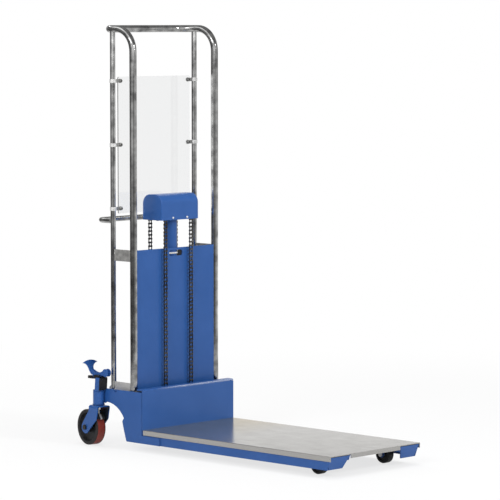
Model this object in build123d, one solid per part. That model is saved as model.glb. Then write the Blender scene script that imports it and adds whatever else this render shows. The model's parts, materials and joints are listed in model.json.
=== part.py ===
from build123d import *
from math import atan2, cos, degrees, pi, radians, sin, sqrt, tan
import os

# Portable hydraulic lift with a roller chain hoist, a lifting platform and four wheels.
# Millimetres, Z up, front towards minus Y. Shapes are drawn with Y measured from the plane
# of the rear mast tubes and shifted once, at the end, so that the origin is the point on the
# floor below the middle of the whole outline.
FRAME_SHIFT_Y = 538.793

# Mast: one bent loop in front, two thinner tubes behind it
TUBE_X = 239.0
FRONT_Y = -122.0
LOOP_D = 30.0
LOOP_WALL = 2.5
LOOP_TOP_Z = 1743.0
LOOP_BACK_Y = 62.0
LOOP_FRONT_BEND = 94.0
LOOP_CORNER_BEND = 75.0
REAR_D = 22.0
REAR_WALL = 2.0
GUSSET_T = 6.0
GUSSET_BANDS = ((239.0, 272.0), (779.0, 827.0))
GUSSET_TAIL = 24.0
GUSSET_TAIL_H = (8.0, 26.0)

# Push handle on the rear tubes
HANDLE_D = 22.0
HANDLE_Z = 945.0
HANDLE_REACH = 87.0
HANDLE_BEND = 26.0

# Mast plate between the front tubes
MAST_PLATE_FRONT = -129.0
MAST_PLATE_T = 3.0
MAST_PLATE_TOP = 827.0
MAST_PLATE_BOTTOM = 90.0
MAST_FLANGE = 22.0
SLOT_W = 76.0
SLOT_H = 24.0
SLOT_Z = 805.0
SLOT_CORNER = 8.0

# Clear guard and its clamps
GUARD_W = 420.0
GUARD_BOTTOM = 974.0
GUARD_TOP = 1544.0
GUARD_T = 4.0
GUARD_CORNER = 6.0
CLAMP_LEVELS = (995.0, 1261.0, 1527.0)
CLAMP_H = 15.0
CLAMP_WALL = 2.5
CLAMP_TAB_X = 190.0
CLAMP_SCREW_X = 199.0
CLAMP_SCREW_D = 5.2

# Base: side plates, straddle legs, floor plate and rear shelf
SIDE_X = 263.0
SIDE_T = 5.0
SIDE_TOP = 243.0
SIDE_FRONT = -197.0
SIDE_TOE_FRONT = -302.0
SIDE_TOE_TOP = 64.0
ARCH_START = (14.0, 186.8)
ARCH_MIDDLE = (-62.0, 160.0)
ARCH_END = (-90.5, 127.0)
ARCH_HOOK = (21.0, 181.0)
HEEL_TIP = (-80.5, 114.0)
HEEL_BEND = (-92.0, 72.0)
HEEL_FOOT_Y = -105.0
NOTCH_Y = -39.0
NOTCH_R = 11.0
LEG_TOP = 82.0
LEG_BOTTOM = 31.0
LEG_INNER = 150.0
LEG_T = 4.0
LEG_LIP = 20.0
LEG_FRONT = -1250.0
LEG_REAR = -106.0
LEG_NOSE_RAKE = 20.0
NOSE_CUT_INNER = 24.0
NOSE_CUT_OUTER = 8.0
FLOOR_T = 6.0
FLOOR_FRONT = -190.0
FLOOR_REAR = -55.0
FLOOR_TONGUE = 60.0
SHELF_TOP = 239.0
SHELF_BOTTOM = 195.0
SHELF_FRONT = -55.0
SHELF_REAR = 24.0
SHELF_T = 5.0

# Front rollers in the legs
ROLLER_X = 194.0
ROLLER_Y = -1128.0
ROLLER_D = 74.0
ROLLER_W = 30.0
ROLLER_AXLE_D = 12.0
ROLLER_EAR_T = 5.0
ROLLER_EAR_R = 13.0
ROLLER_GAP = 2.0

# Swivel casters, drawn on their own kingpin and then turned and placed
KINGPIN_X = -285.0
KINGPIN_Y = 44.0
CASTER_YAW = -8.5
CASTER_TRAIL = 54.0
WHEEL_D = 150.0
WHEEL_W = 42.0
TREAD_T = 4.5
TREAD_ROUND = 2.0
HOUSING_D = 47.0
HOUSING_BOTTOM = 177.0
HOUSING_TOP = 233.0
KINGPIN_D = 25.0
FORK_TOP = 172.0
FORK_T = 5.0
FORK_INNER = 27.0
FORK_EYE_R = 26.0
FORK_CROWN_Y = (-38.0, 26.0)
FORK_FRONT_KNEE = (-26.0, 114.0)
FORK_REAR_KNEE = (29.0, 146.0)
FORK_KNEE_R = 18.0
FORK_CROWN_R = 10.0
AXLE_D = 12.0
FORK_NECK_D = 40.0
AXLE_HEAD = 19.0
HUB_R = 20.0
WEB_HALF = 9.0
RIM_T = 10.0
FIT = 0.05

# Parking brake above each caster
BRACKET_HALF = 22.5
BRACKET_T = 4.0
BRACKET_FRONT = -24.0
BRACKET_REAR = 1.0
BRACKET_WALL_TOP = 290.0
BRACKET_WEB_Y = (-9.0, -5.5)
BRACKET_RAKE = 4.0
LUG_HALF = 5.0
LUG_R = 8.0
LUG_SLANT = 40.0
LUG_FOOT = 280.0
LUG_RISE = 1.0
BLOCK_FRONT = -28.5
BLOCK_TOP = 288.0
BLOCK_CLEAR = 0.5
PEDAL_PIVOT_Y = -32.0
PEDAL_PIVOT_Z = 308.0
PEDAL_HALF = 9.5
PEDAL_T = 4.0
PEDAL_UNDER = 299.0
PEDAL_WEB_START = -5.0
PEDAL_END = 27.0
PEDAL_FLANGE_T = 3.5
NOSE = (-49.5, 311.5)
NOSE_R = 16.5
NOSE_TOP = (-44.0, 326.5)
NOSE_FOOT = (-46.0, 296.0)
FLANGE_REAR = (33.0, 318.0)
FLANGE_DIP = (-14.0, 310.5)
FLANGE_ARCH = (-14.0, 301.0)
NECK_FRONT = ((24.0, 302.0), (45.5, 327.5), (48.5, 360.0))
NECK_REAR = ((53.5, 360.7), (50.0, 324.5), (31.0, 299.0))
NECK_HALF = 12.0
NECK_TOP = 318.0
FAN_FLARE = (18.5, 336.5)
FAN_TIP = (41.0, 347.0)
FAN_TOP = 359.0
TOE_HALF = 10.0
TOE_END = 55.0
TOE_Z = (283.0, 292.0)
PIN_D = 8.0
PIN_PROUD = 0.6
BRAKE_ROD_D = 8.0
BRAKE_ROD_TOP = 297.8
SHOE_GAP = 6.0
SHOE_T = 4.0

# Roller chain, five eighths inch pitch, and its sprockets
PITCH = 15.875
CHAIN_X = 75.0
ROLLER_LINK_D = 7.2
INNER_WIDTH = 11.2
LINK_T = 1.5
LINK_GAP = 0.15
LINK_PIN_D = 4.4
BUSH_BORE = 4.8
INNER_PLATE_R = 4.8
OUTER_PLATE_R = 4.4
PLATE_WAIST = 0.52
PLATE_SHOULDER = 2.2
PIN_HEAD = 0.8
TEETH = 18
FRONT_LINKS = 54
BACK_LINKS = 37
RAM_Y = -98.0
SPROCKET_Z = 991.125
TOOTH_W = 10.4
SEAT_R = 3.8
FLANK_ANGLE = 24.0
HUB_D = 56.0
HUB_X = (46.0, 104.0)
SHAFT_D = 20.0

# Chain anchors: threaded studs on the fixed bridge and on the carriage
STUD_D = 10.0
STUD_HOLE_D = 10.2
STUD_NUT = 17.0
NUT_H = 8.0
ANCHOR_DROP = 32.0
BRIDGE_HALF_W = 100.0
BRIDGE_HALF_D = 12.0
BRIDGE_T = 12.0
BRIDGE_ARM_T = 6.0
BRIDGE_ARM_H = 60.0
EYE_HALF_T = 4.2
EYE_R = 7.5
CLEVIS_GAP = 7.5
CLEVIS_T = 4.0
CLEVIS_R = 8.0

# Hydraulic cylinder, ram and chain head
BARREL_D = 53.0
BARREL_BORE = 42.1
BARREL_TOP = 940.0
ROD_D = 35.0
ROD_TOP = 975.0
PISTON_BOTTOM = 330.0
PISTON_H = 30.0
GLAND_D = 58.0
GLAND_TOP = 962.0
CLAMP_RING_D = 62.0
CLAMP_RING_H = 6.0
CLAMP_EAR_X = -64.0
CLAMP_EAR_T = 7.0
FOOT_D = 64.0
FOOT_H = 14.0
PORT_D = 18.0
PORT_REACH = 9.0
HOOD_HALF_W = 108.0
HOOD_HALF_D = 57.0
HOOD_TOP = 1053.5
HOOD_CORNER = 40.0
HOOD_T = 2.5
HOOD_EDGE_R = 3.5
HOOD_BOTTOM = 946.0
HEAD_HALF_W = 45.0
HEAD_HALF_D = 24.0
HEAD_BOTTOM = 965.0
HEAD_TOP = 1018.0
HANGER_HALF_W = 52.0
HANGER_T = 3.0
HANGER_WEB_X = (-34.0, 28.0)
HANGER_WEB_T = 6.0

# Carriage: apron, forks, platform deck, cheeks, shoes and chain bar
APRON_HALF_W = 269.0
APRON_FRONT = -204.0
APRON_T = 4.0
APRON_TOP = 255.0
APRON_FLANGE = 34.0
DECK_HALF_W = 267.0
DECK_TOP = 88.0
DECK_T = 3.5
DECK_FRONT = -1252.0
DECK_LIP = 21.0
DECK_LIP_T = 2.5
FRONT_LIP_HALF = 147.0
FRONT_LIP = 18.0
FORK_BAR_X = (55.0, 135.0)
FORK_BAR_T = 18.5
FORK_BAR_FRONT = -1228.0
FORK_BAR_TIP = 8.0
FORK_SHANK_TOP = 238.0
CHEEK_X = (196.0, 204.0)
CHEEK_REAR = -135.0
CHEEK_Z = (86.5, 250.0)
SHOE_OUTER_X = 259.0
SHOE_HOOK_X = 244.5
SHOE_FRONT = -162.0
SHOE_FACE = -131.5
SHOE_REAR = -100.0
SHOE_CLEAR = 0.4
SHOE_BANDS = ((92.0, 137.0), (196.0, 241.0))
BAR_Y = (-156.0, -131.5)
BAR_Z = (95.0, 120.0)

# Pump unit on the rear shelf, foot pedal and lowering pedal
PUMP_X = (5.0, 85.0)
PUMP_Y = (-48.0, 20.0)
PUMP_TOP = 300.0
PUMP_PIVOT = (-38.0, 320.0)
PUMP_ARM = 165.0
PUMP_REST_ANGLE = 20.0
PLUNGER_X = 45.0
PLUNGER_Y = 7.0
PLUNGER_D = 16.0
PLUNGER_GAP = 2.5
TREAD_HALF_W = 34.0
TREAD_L = 50.0
TREAD_RIBS = 4
PEDAL_TUBE = 14.0
TANK_X = (-80.0, 5.0)
TANK_Y = (-46.0, 22.0)
TANK_TOP = 296.0
RELEASE_X = 100.0
RELEASE_PIVOT = (-10.0, 286.0)
RELEASE_ARM = 112.0
PIPE_D = 8.0
PIPE_BEND = 11.0
PIPE_X = 62.0
PIPE_DROP_Y = -68.0
PIPE_PORT_Z = 75.0

BACK_STRAND_Y = RAM_Y + PITCH / sin(pi / TEETH) / 2
FRONT_STRAND_Y = RAM_Y - PITCH / sin(pi / TEETH) / 2
FRONT_PIN_Z = SPROCKET_Z - FRONT_LINKS * PITCH
BACK_PIN_Z = SPROCKET_Z - BACK_LINKS * PITCH


def block(x0, x1, y0, y1, z0, z1):
    """Box between two corners."""
    return Pos((x0 + x1) / 2, (y0 + y1) / 2, (z0 + z1) / 2) * Box(abs(x1 - x0), abs(y1 - y0), abs(z1 - z0))


def rod_x(x0, x1, y, z, diameter):
    """Round bar along X."""
    return Pos((x0 + x1) / 2, y, z) * Rot(0, 90, 0) * Cylinder(diameter / 2, abs(x1 - x0))


def rod_y(x, y0, y1, z, diameter):
    """Round bar along Y."""
    return Pos(x, (y0 + y1) / 2, z) * Rot(90, 0, 0) * Cylinder(diameter / 2, abs(y1 - y0))


def rod_z(x, y, z0, z1, diameter):
    """Round bar along Z."""
    return Pos(x, y, (z0 + z1) / 2) * Cylinder(diameter / 2, abs(z1 - z0))


def hex_x(x0, x1, y, z, across):
    """Hexagon head or nut along X."""
    head = extrude(RegularPolygon(across / 2, 6, major_radius=False), abs(x1 - x0))
    return Pos(min(x0, x1), y, z) * Rot(0, 90, 0) * head


def hex_z(x, y, z0, z1, across):
    """Hexagon head or nut along Z."""
    return Pos(x, y, z0) * extrude(RegularPolygon(across / 2, 6, major_radius=False), z1 - z0)


def prism_x(face, x0, x1):
    """Face drawn as (Y, Z) and extruded from x0 to x1."""
    return extrude(Plane.YZ.offset(x0) * face, x1 - x0)


def prism_y(face, y0, y1):
    """Face drawn as (X, Z) and extruded from y0 to y1, where y1 is further to the rear."""
    return extrude(Plane.XZ.offset(-y0) * face, y0 - y1)


def outline(*edges):
    """Face inside a closed run of edges."""
    return make_face(Wire(list(edges)))


def tangent_point(point, centre, radius, side):
    """Touch point of the line from point to a circle, on its left (1) or right (-1) side."""
    dx = centre[0] - point[0]
    dy = centre[1] - point[1]
    reach = sqrt(dx * dx + dy * dy)
    turn = side * radians(90) - side * atan2(sqrt(reach * reach - radius * radius), radius)
    base = atan2(dy, dx)
    along = sqrt(reach * reach - radius * radius)
    return (point[0] + along * cos(base + turn), point[1] + along * sin(base + turn))


def both_sides(shape):
    """Shape with its mirror image on the other side of the machine."""
    return [shape, mirror(shape, about=Plane.YZ)]


# Mast
def loop_path():
    left = [(-TUBE_X, FRONT_Y, LEG_TOP), (-TUBE_X, FRONT_Y, LOOP_TOP_Z), (-TUBE_X, LOOP_BACK_Y, LOOP_TOP_Z)]
    right = [(-x, y, z) for x, y, z in reversed(left)]
    bends = [LOOP_FRONT_BEND, LOOP_CORNER_BEND, LOOP_CORNER_BEND, LOOP_FRONT_BEND]
    return FilletPolyline(*left, *right, radius=bends)


def loop_tube(diameter):
    section = Plane((-TUBE_X, FRONT_Y, LEG_TOP)) * Circle(diameter / 2)
    return sweep(section, path=loop_path())


def rear_tube(x, diameter):
    return rod_z(x, 0, SHELF_TOP, LOOP_TOP_Z, diameter)


def rear_tubes(loop):
    """Two straight tubes whose tops are coped to the underside of the loop."""
    tubes = []
    for x in (-TUBE_X, TUBE_X):
        tubes.append(rear_tube(x, REAR_D) - rear_tube(x, REAR_D - 2 * REAR_WALL) - loop)
    return tubes


def mast_gussets(loop):
    """Flat bars that tie each rear tube to the loop, and small feet behind the rear tubes."""
    bars = []
    low_end, high_end = GUSSET_TAIL_H
    foot = make_face(Polyline((0, SHELF_TOP), (GUSSET_TAIL, SHELF_TOP), (GUSSET_TAIL, SHELF_TOP + low_end),
                              (0, SHELF_TOP + high_end), close=True))
    for x in (-TUBE_X, TUBE_X):
        near = x - GUSSET_T / 2
        far = x + GUSSET_T / 2
        for low, high in GUSSET_BANDS:
            bars.append(block(near, far, FRONT_Y, 0, low, high) - loop - rear_tube(x, REAR_D))
        bars.append(prism_x(foot, near, far) - rear_tube(x, REAR_D))
    return bars


def push_handle():
    """Bow across the rear tubes, coped to them at both ends."""
    points = [(-TUBE_X, 0, HANDLE_Z), (-TUBE_X, HANDLE_REACH, HANDLE_Z)]
    points += [(TUBE_X, HANDLE_REACH, HANDLE_Z), (TUBE_X, 0, HANDLE_Z)]
    path = FilletPolyline(*points, radius=HANDLE_BEND)
    start = Plane(points[0], x_dir=(1, 0, 0), z_dir=(0, 1, 0))
    bow = sweep(start * Circle(HANDLE_D / 2), path=path)
    bow -= sweep(start * Circle(HANDLE_D / 2 - REAR_WALL), path=path)
    return bow - rear_tube(-TUBE_X, REAR_D) - rear_tube(TUBE_X, REAR_D)


def mast_plate(loop):
    """Folded sheet welded between the loop's uprights, slotted for the cylinder clamp."""
    half = TUBE_X - LOOP_D / 2 + 2.0
    fold = TUBE_X - LOOP_D / 2 - 2 * MAST_PLATE_T
    rear = MAST_PLATE_FRONT + MAST_PLATE_T
    plate = block(-half, half, MAST_PLATE_FRONT, rear, MAST_PLATE_BOTTOM, MAST_PLATE_TOP)
    for side in (-1, 1):
        plate += block(side * fold, side * (fold - MAST_PLATE_T), rear, rear + MAST_FLANGE,
                       MAST_PLATE_BOTTOM, MAST_PLATE_TOP)
    slot = Pos(0, SLOT_Z) * RectangleRounded(SLOT_W, SLOT_H, SLOT_CORNER)
    plate -= prism_y(slot, MAST_PLATE_FRONT - 1, rear + 1)
    return plate - loop


def guard_panel():
    """Clear sheet between the rear tubes, drilled for its clamp screws."""
    sheet = RectangleRounded(GUARD_W, GUARD_TOP - GUARD_BOTTOM, GUARD_CORNER)
    panel = prism_y(Pos(0, (GUARD_BOTTOM + GUARD_TOP) / 2) * sheet, -GUARD_T / 2, GUARD_T / 2)
    for z in CLAMP_LEVELS:
        for x in (-CLAMP_SCREW_X, CLAMP_SCREW_X):
            panel -= rod_y(x, -GUARD_T, GUARD_T, z, CLAMP_SCREW_D)
    return panel


def guard_clamps():
    """Band round a rear tube with a flat tab that carries the guard."""
    clamps = []
    ring_r = REAR_D / 2 + CLAMP_WALL
    for z in CLAMP_LEVELS:
        low = z - CLAMP_H / 2
        high = z + CLAMP_H / 2
        tab_front = -GUARD_T / 2 - CLAMP_WALL
        clamp = rod_z(TUBE_X, 0, low, high, 2 * ring_r)
        clamp += block(CLAMP_TAB_X, TUBE_X, tab_front, -GUARD_T / 2, low, high)
        clamp -= rod_z(TUBE_X, 0, low, high, REAR_D + 2 * FIT)
        clamp -= rod_y(CLAMP_SCREW_X, tab_front - 1, 0, z, CLAMP_SCREW_D)
        clamps += both_sides(clamp)
    return clamps


# Base
def left_housing():
    outer = rod_z(KINGPIN_X, KINGPIN_Y, HOUSING_BOTTOM, HOUSING_TOP, HOUSING_D)
    outer = chamfer(outer.edges().filter_by(GeomType.CIRCLE), 2)
    return outer - rod_z(KINGPIN_X, KINGPIN_Y, HOUSING_BOTTOM, HOUSING_TOP, KINGPIN_D + 2 * FIT)


def left_side_plate():
    """Plate with the wheel arch, the raked heel and the toe that overlaps the leg."""
    foot = (HEEL_FOOT_Y, LEG_BOTTOM)
    hook_end = (KINGPIN_Y, ARCH_HOOK[1])
    face = outline(
        Line((KINGPIN_Y, SIDE_TOP), (SIDE_FRONT, SIDE_TOP)),
        Line((SIDE_FRONT, SIDE_TOP), (SIDE_FRONT, SIDE_TOE_TOP)),
        Line((SIDE_FRONT, SIDE_TOE_TOP), (SIDE_TOE_FRONT, SIDE_TOE_TOP)),
        Line((SIDE_TOE_FRONT, SIDE_TOE_TOP), (SIDE_TOE_FRONT, LEG_BOTTOM)),
        Line((SIDE_TOE_FRONT, LEG_BOTTOM), foot),
        Line(foot, HEEL_BEND),
        Line(HEEL_BEND, HEEL_TIP),
        Line(HEEL_TIP, ARCH_END),
        ThreePointArc(ARCH_END, ARCH_MIDDLE, ARCH_START),
        Line(ARCH_START, ARCH_HOOK),
        Line(ARCH_HOOK, hook_end),
        Line(hook_end, (KINGPIN_Y, SIDE_TOP)),
    )
    for corner, radius in ((foot, 7.0), (HEEL_TIP, 5.0), (ARCH_END, 4.0)):
        face = fillet(face.vertices().sort_by_distance((*corner, 0))[0], radius)
    face -= Pos(NOTCH_Y, SIDE_TOP) * Circle(NOTCH_R)
    plate = prism_x(face, -SIDE_X - SIDE_T, -SIDE_X)
    return plate - rod_z(KINGPIN_X, KINGPIN_Y, HOUSING_BOTTOM, SIDE_TOP + 1, HOUSING_D)


def left_leg():
    """Inverted channel with a short inner lip, a raked nose and ears for the front roller."""
    section = Polyline(
        (-SIDE_X, LEG_BOTTOM), (-SIDE_X, LEG_TOP), (-LEG_INNER, LEG_TOP), (-LEG_INNER, LEG_TOP - LEG_LIP),
        (-LEG_INNER - LEG_T, LEG_TOP - LEG_LIP), (-LEG_INNER - LEG_T, LEG_TOP - LEG_T),
        (-SIDE_X + LEG_T, LEG_TOP - LEG_T), (-SIDE_X + LEG_T, LEG_BOTTOM), close=True)
    leg = prism_y(make_face(section), LEG_FRONT, LEG_REAR)
    rake_foot = LEG_FRONT + LEG_NOSE_RAKE
    ahead = Polyline((LEG_FRONT - 1, LEG_TOP), (LEG_FRONT, LEG_TOP), (rake_foot, LEG_BOTTOM),
                     (LEG_FRONT - 1, LEG_BOTTOM), close=True)
    leg -= prism_x(make_face(ahead), -SIDE_X, -LEG_INNER)
    nose = Polyline((LEG_FRONT, LEG_TOP), (LEG_FRONT + LEG_T, LEG_TOP), (rake_foot + LEG_T, LEG_BOTTOM),
                    (rake_foot, LEG_BOTTOM), close=True)
    mask = Polyline((-SIDE_X, LEG_TOP), (-LEG_INNER, LEG_TOP), (-LEG_INNER - NOSE_CUT_INNER, LEG_BOTTOM),
                    (-SIDE_X + NOSE_CUT_OUTER, LEG_BOTTOM), close=True)
    nose_sheet = prism_x(make_face(nose), -SIDE_X, -LEG_INNER)
    leg += nose_sheet & prism_y(make_face(mask), LEG_FRONT - 1, rake_foot + 2 * LEG_T)
    front = ROLLER_Y - ROLLER_EAR_R
    rear = ROLLER_Y + ROLLER_EAR_R
    axle_z = ROLLER_D / 2
    roof = LEG_TOP - LEG_T
    ear_gap = ROLLER_W / 2 + ROLLER_GAP
    ear_face = outline(
        Line((front, roof), (front, axle_z)),
        ThreePointArc((front, axle_z), (ROLLER_Y, axle_z - ROLLER_EAR_R), (rear, axle_z)),
        Line((rear, axle_z), (rear, roof)), Line((rear, roof), (front, roof)))
    ear_face -= Pos(ROLLER_Y, axle_z) * Circle(ROLLER_AXLE_D / 2 + FIT)
    for near in (-ROLLER_X - ear_gap - ROLLER_EAR_T, -ROLLER_X + ear_gap):
        leg += prism_x(ear_face, near, near + ROLLER_EAR_T)
    return leg


def roller_axle():
    """Plain axle with a head and a washer outside the roller ears."""
    reach = ROLLER_W / 2 + ROLLER_GAP + ROLLER_EAR_T
    z = ROLLER_D / 2
    axle = rod_x(-ROLLER_X - reach - 4, -ROLLER_X + reach + 4, ROLLER_Y, z, ROLLER_AXLE_D)
    axle += hex_x(-ROLLER_X - reach - 6, -ROLLER_X - reach, ROLLER_Y, z, 18)
    return axle + hex_x(-ROLLER_X + reach, -ROLLER_X + reach + 6, ROLLER_Y, z, 18)


def front_roller():
    """Crowned wheel with a recessed web on each face."""
    z = ROLLER_D / 2
    wheel = rod_x(-ROLLER_X - ROLLER_W / 2, -ROLLER_X + ROLLER_W / 2, ROLLER_Y, z, ROLLER_D)
    wheel = fillet(wheel.edges().filter_by(GeomType.CIRCLE), 4)
    web = rod_x(0, 4, ROLLER_Y, z, ROLLER_D - 20) - rod_x(0, 4, ROLLER_Y, z, 26)
    wheel -= Pos(-ROLLER_X - ROLLER_W / 2) * web
    wheel -= Pos(-ROLLER_X + ROLLER_W / 2 - 4) * web
    return wheel - rod_x(-ROLLER_X - ROLLER_W, -ROLLER_X + ROLLER_W, ROLLER_Y, z, ROLLER_AXLE_D + 2 * FIT)


def base_floor():
    """Plate inside the legs with a tongue under the cylinder."""
    wide = SIDE_X - LEG_T
    plate = block(-wide, wide, FLOOR_FRONT, LEG_REAR, LEG_BOTTOM, LEG_BOTTOM + FLOOR_T)
    tongue = block(-FLOOR_TONGUE, FLOOR_TONGUE, LEG_REAR, FLOOR_REAR, LEG_BOTTOM, LEG_BOTTOM + FLOOR_T)
    return plate + fillet(tongue.edges().filter_by(Axis.Z).group_by(Axis.Y)[-1], 12)


def base_shelf():
    """Folded channel between the side plates, open below."""
    channel = block(-SIDE_X, SIDE_X, SHELF_FRONT, SHELF_REAR, SHELF_BOTTOM, SHELF_TOP)
    return channel - block(-SIDE_X, SIDE_X, SHELF_FRONT + SHELF_T, SHELF_REAR - SHELF_T,
                           SHELF_BOTTOM, SHELF_TOP - SHELF_T)


# Casters, drawn with the kingpin on the Z axis, trailing towards plus Y
def placed_caster(shape, turned=True):
    yaw = CASTER_YAW if turned else 0.0
    return Pos(KINGPIN_X, KINGPIN_Y, 0) * Rot(0, 0, yaw) * shape


def caster_fork():
    """Bent fork: crown, two raked legs with round axle eyes, and a hollow kingpin."""
    eye = (CASTER_TRAIL, WHEEL_D / 2)
    crown_front, crown_rear = ((y, FORK_TOP) for y in FORK_CROWN_Y)
    front_touch = tangent_point(FORK_FRONT_KNEE, eye, FORK_EYE_R, -1)
    rear_touch = tangent_point(FORK_REAR_KNEE, eye, FORK_EYE_R, 1)
    eye_end = (eye[0] + FORK_EYE_R * cos(radians(-40)), eye[1] + FORK_EYE_R * sin(radians(-40)))
    profile = outline(
        Line(crown_front, FORK_FRONT_KNEE), Line(FORK_FRONT_KNEE, front_touch),
        ThreePointArc(front_touch, eye_end, rear_touch), Line(rear_touch, FORK_REAR_KNEE),
        Line(FORK_REAR_KNEE, crown_rear), Line(crown_rear, crown_front))
    for knee in (FORK_FRONT_KNEE, FORK_REAR_KNEE):
        profile = fillet(profile.vertices().sort_by_distance((*knee, 0))[0], FORK_KNEE_R)
    outer = FORK_INNER + FORK_T
    fork = prism_x(profile, -outer, outer)
    crown = fork.edges().filter_by(Axis.Y).group_by(Axis.Z)[-1]
    fork = fillet(crown, FORK_CROWN_R)
    fork -= block(-FORK_INNER, FORK_INNER, crown_front[0] - 1, WHEEL_D, 0, FORK_TOP - FORK_T - 1)
    fork -= rod_x(-outer, outer, *eye, AXLE_D + 2 * FIT)
    fork += rod_z(0, 0, FORK_TOP, HOUSING_BOTTOM - 0.4, FORK_NECK_D)
    fork += rod_z(0, 0, FORK_TOP, HOUSING_TOP - 2, KINGPIN_D)
    return fork - rod_z(0, 0, FORK_TOP - 10, HOUSING_TOP, BRAKE_ROD_D + 1)


def caster_axle():
    outer = FORK_INNER + FORK_T
    axle = rod_x(-outer - 7, outer + 9, CASTER_TRAIL, WHEEL_D / 2, AXLE_D)
    axle += hex_x(-outer - 7, -outer, CASTER_TRAIL, WHEEL_D / 2, AXLE_HEAD)
    return axle + hex_x(outer, outer + 8, CASTER_TRAIL, WHEEL_D / 2, AXLE_HEAD)


def wheel_core():
    """Moulded wheel centre with a dished web and a long hub."""
    bore_r = AXLE_D / 2 + FIT
    rim_r = WHEEL_D / 2 - TREAD_T
    half = WHEEL_W / 2
    hub_half = FORK_INNER - 1
    upper = [(rim_r, half), (rim_r - RIM_T, half), (rim_r - RIM_T - 4, WEB_HALF + 1), (HUB_R + 2, WEB_HALF),
             (HUB_R, hub_half), (bore_r, hub_half)]
    lower = [(r, -z) for r, z in reversed(upper)]
    section = Polyline(*upper, *lower, close=True)
    core = revolve(Plane.XZ * make_face(section), Axis.Z)
    return Pos(0, CASTER_TRAIL, WHEEL_D / 2) * Rot(0, 90, 0) * core


def wheel_tread():
    rim_r = WHEEL_D / 2 - TREAD_T
    ring = rod_x(-WHEEL_W / 2, WHEEL_W / 2, CASTER_TRAIL, WHEEL_D / 2, WHEEL_D)
    ring = fillet(ring.edges().filter_by(GeomType.CIRCLE), TREAD_ROUND)
    return ring - rod_x(-WHEEL_W, WHEEL_W, CASTER_TRAIL, WHEEL_D / 2, 2 * rim_r)


def side_plate_edge():
    """Room for the top edge of the side plate, which the brake bracket straddles."""
    near = -SIDE_X - SIDE_T - KINGPIN_X
    return block(near, near + 20, BLOCK_FRONT - 1, HOUSING_D, HOUSING_TOP, SIDE_TOP)


def brake_bracket():
    """Sheet bracket on the kingpin housing: round base, web, two walls, and a lug for the pedal pin."""
    half = BRACKET_HALF
    floor_top = HOUSING_TOP + BRACKET_T
    base = rod_z(0, 0, HOUSING_TOP, floor_top, HOUSING_D)
    base += block(-half, half, BRACKET_FRONT, 0, HOUSING_TOP, floor_top)
    base -= rod_z(0, 0, HOUSING_TOP, floor_top, BRAKE_ROD_D + 6)
    web = block(-half, half, *BRACKET_WEB_Y, HOUSING_TOP, BLOCK_TOP)
    pivot = (PEDAL_PIVOT_Y, PEDAL_PIVOT_Z)
    slant = radians(LUG_SLANT)
    across, along = LUG_R * sin(slant), LUG_R * cos(slant)
    front, rear = BRACKET_WEB_Y
    seat = BLOCK_TOP + LUG_RISE
    lug = make_face(Polyline(
        (front, LUG_FOOT), (rear, LUG_FOOT), (rear, seat), (pivot[0] + across, pivot[1] + along),
        (pivot[0] - across, pivot[1] - along), (front, seat), close=True))
    lug += Pos(*pivot) * Circle(LUG_R)
    lug -= Pos(*pivot) * Circle(PIN_D / 2 + FIT)
    rear_top = BRACKET_REAR - BRACKET_RAKE
    front_top = BRACKET_FRONT - BRACKET_RAKE
    wall = make_face(Polyline(
        (BRACKET_FRONT, HOUSING_TOP), (BRACKET_REAR, HOUSING_TOP), (rear_top, BRACKET_WALL_TOP - 4),
        (front, BRACKET_WALL_TOP), (front_top, BRACKET_WALL_TOP), close=True))
    bracket = base + web + prism_x(lug, -LUG_HALF, LUG_HALF)
    for near in (-half, half - BRACKET_T):
        bracket += prism_x(wall, near, near + BRACKET_T)
    return bracket - side_plate_edge()


def brake_block():
    """Moulded guide block between the bracket's walls, with a raked face as wide as the bracket."""
    half = BRACKET_HALF
    inside = half - BRACKET_T - BLOCK_CLEAR
    low = HOUSING_TOP + BRACKET_T
    rear = BRACKET_FRONT - BLOCK_CLEAR
    rake = BRACKET_RAKE
    face = prism_x(make_face(Polyline((BLOCK_FRONT, low), (rear, low), (rear - rake, BLOCK_TOP),
                                      (BLOCK_FRONT - rake, BLOCK_TOP), close=True)), -half, half)
    corners = face.edges().filter_by(lambda edge: abs(edge.center().X) > half - 1 and edge.length > 2 * half)
    face = fillet(corners.group_by(Axis.Y)[0], 3)
    body = prism_x(make_face(Polyline((rear, low), (BRACKET_WEB_Y[0], low), (BRACKET_WEB_Y[0], BLOCK_TOP),
                                      (rear - rake, BLOCK_TOP), close=True)), -inside, inside)
    return face + body - side_plate_edge()


def brake_pin():
    """Pedal pin through the lug and both flanges, its ends a little proud."""
    end = PEDAL_HALF + PIN_PROUD
    return rod_x(-end, end, PEDAL_PIVOT_Y, PEDAL_PIVOT_Z, PIN_D)


def pedal_tread():
    """Swan neck of the brake pedal: a bent strip cut to a narrow neck and a wide pointed fan."""
    strip = outline(
        ThreePointArc(*NECK_FRONT), Line(NECK_FRONT[-1], NECK_REAR[0]),
        ThreePointArc(*NECK_REAR), Line(NECK_REAR[-1], NECK_FRONT[0]))
    right = [(NECK_HALF, NECK_TOP), FAN_FLARE, FAN_TIP]
    left = [(-x, z) for x, z in reversed(right)]
    foot = [(-NECK_HALF, PEDAL_UNDER), (NECK_HALF, PEDAL_UNDER)]
    fan = outline(
        Line(*foot), Line(foot[1], right[0]), ThreePointArc(*right),
        ThreePointArc(right[-1], (0, FAN_TOP), left[0]), ThreePointArc(*left), Line(left[-1], foot[0]))
    reach = FAN_TIP[0] + 1
    return prism_x(strip, -reach, reach) & prism_y(fan, 0, 2 * TOE_END)


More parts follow.
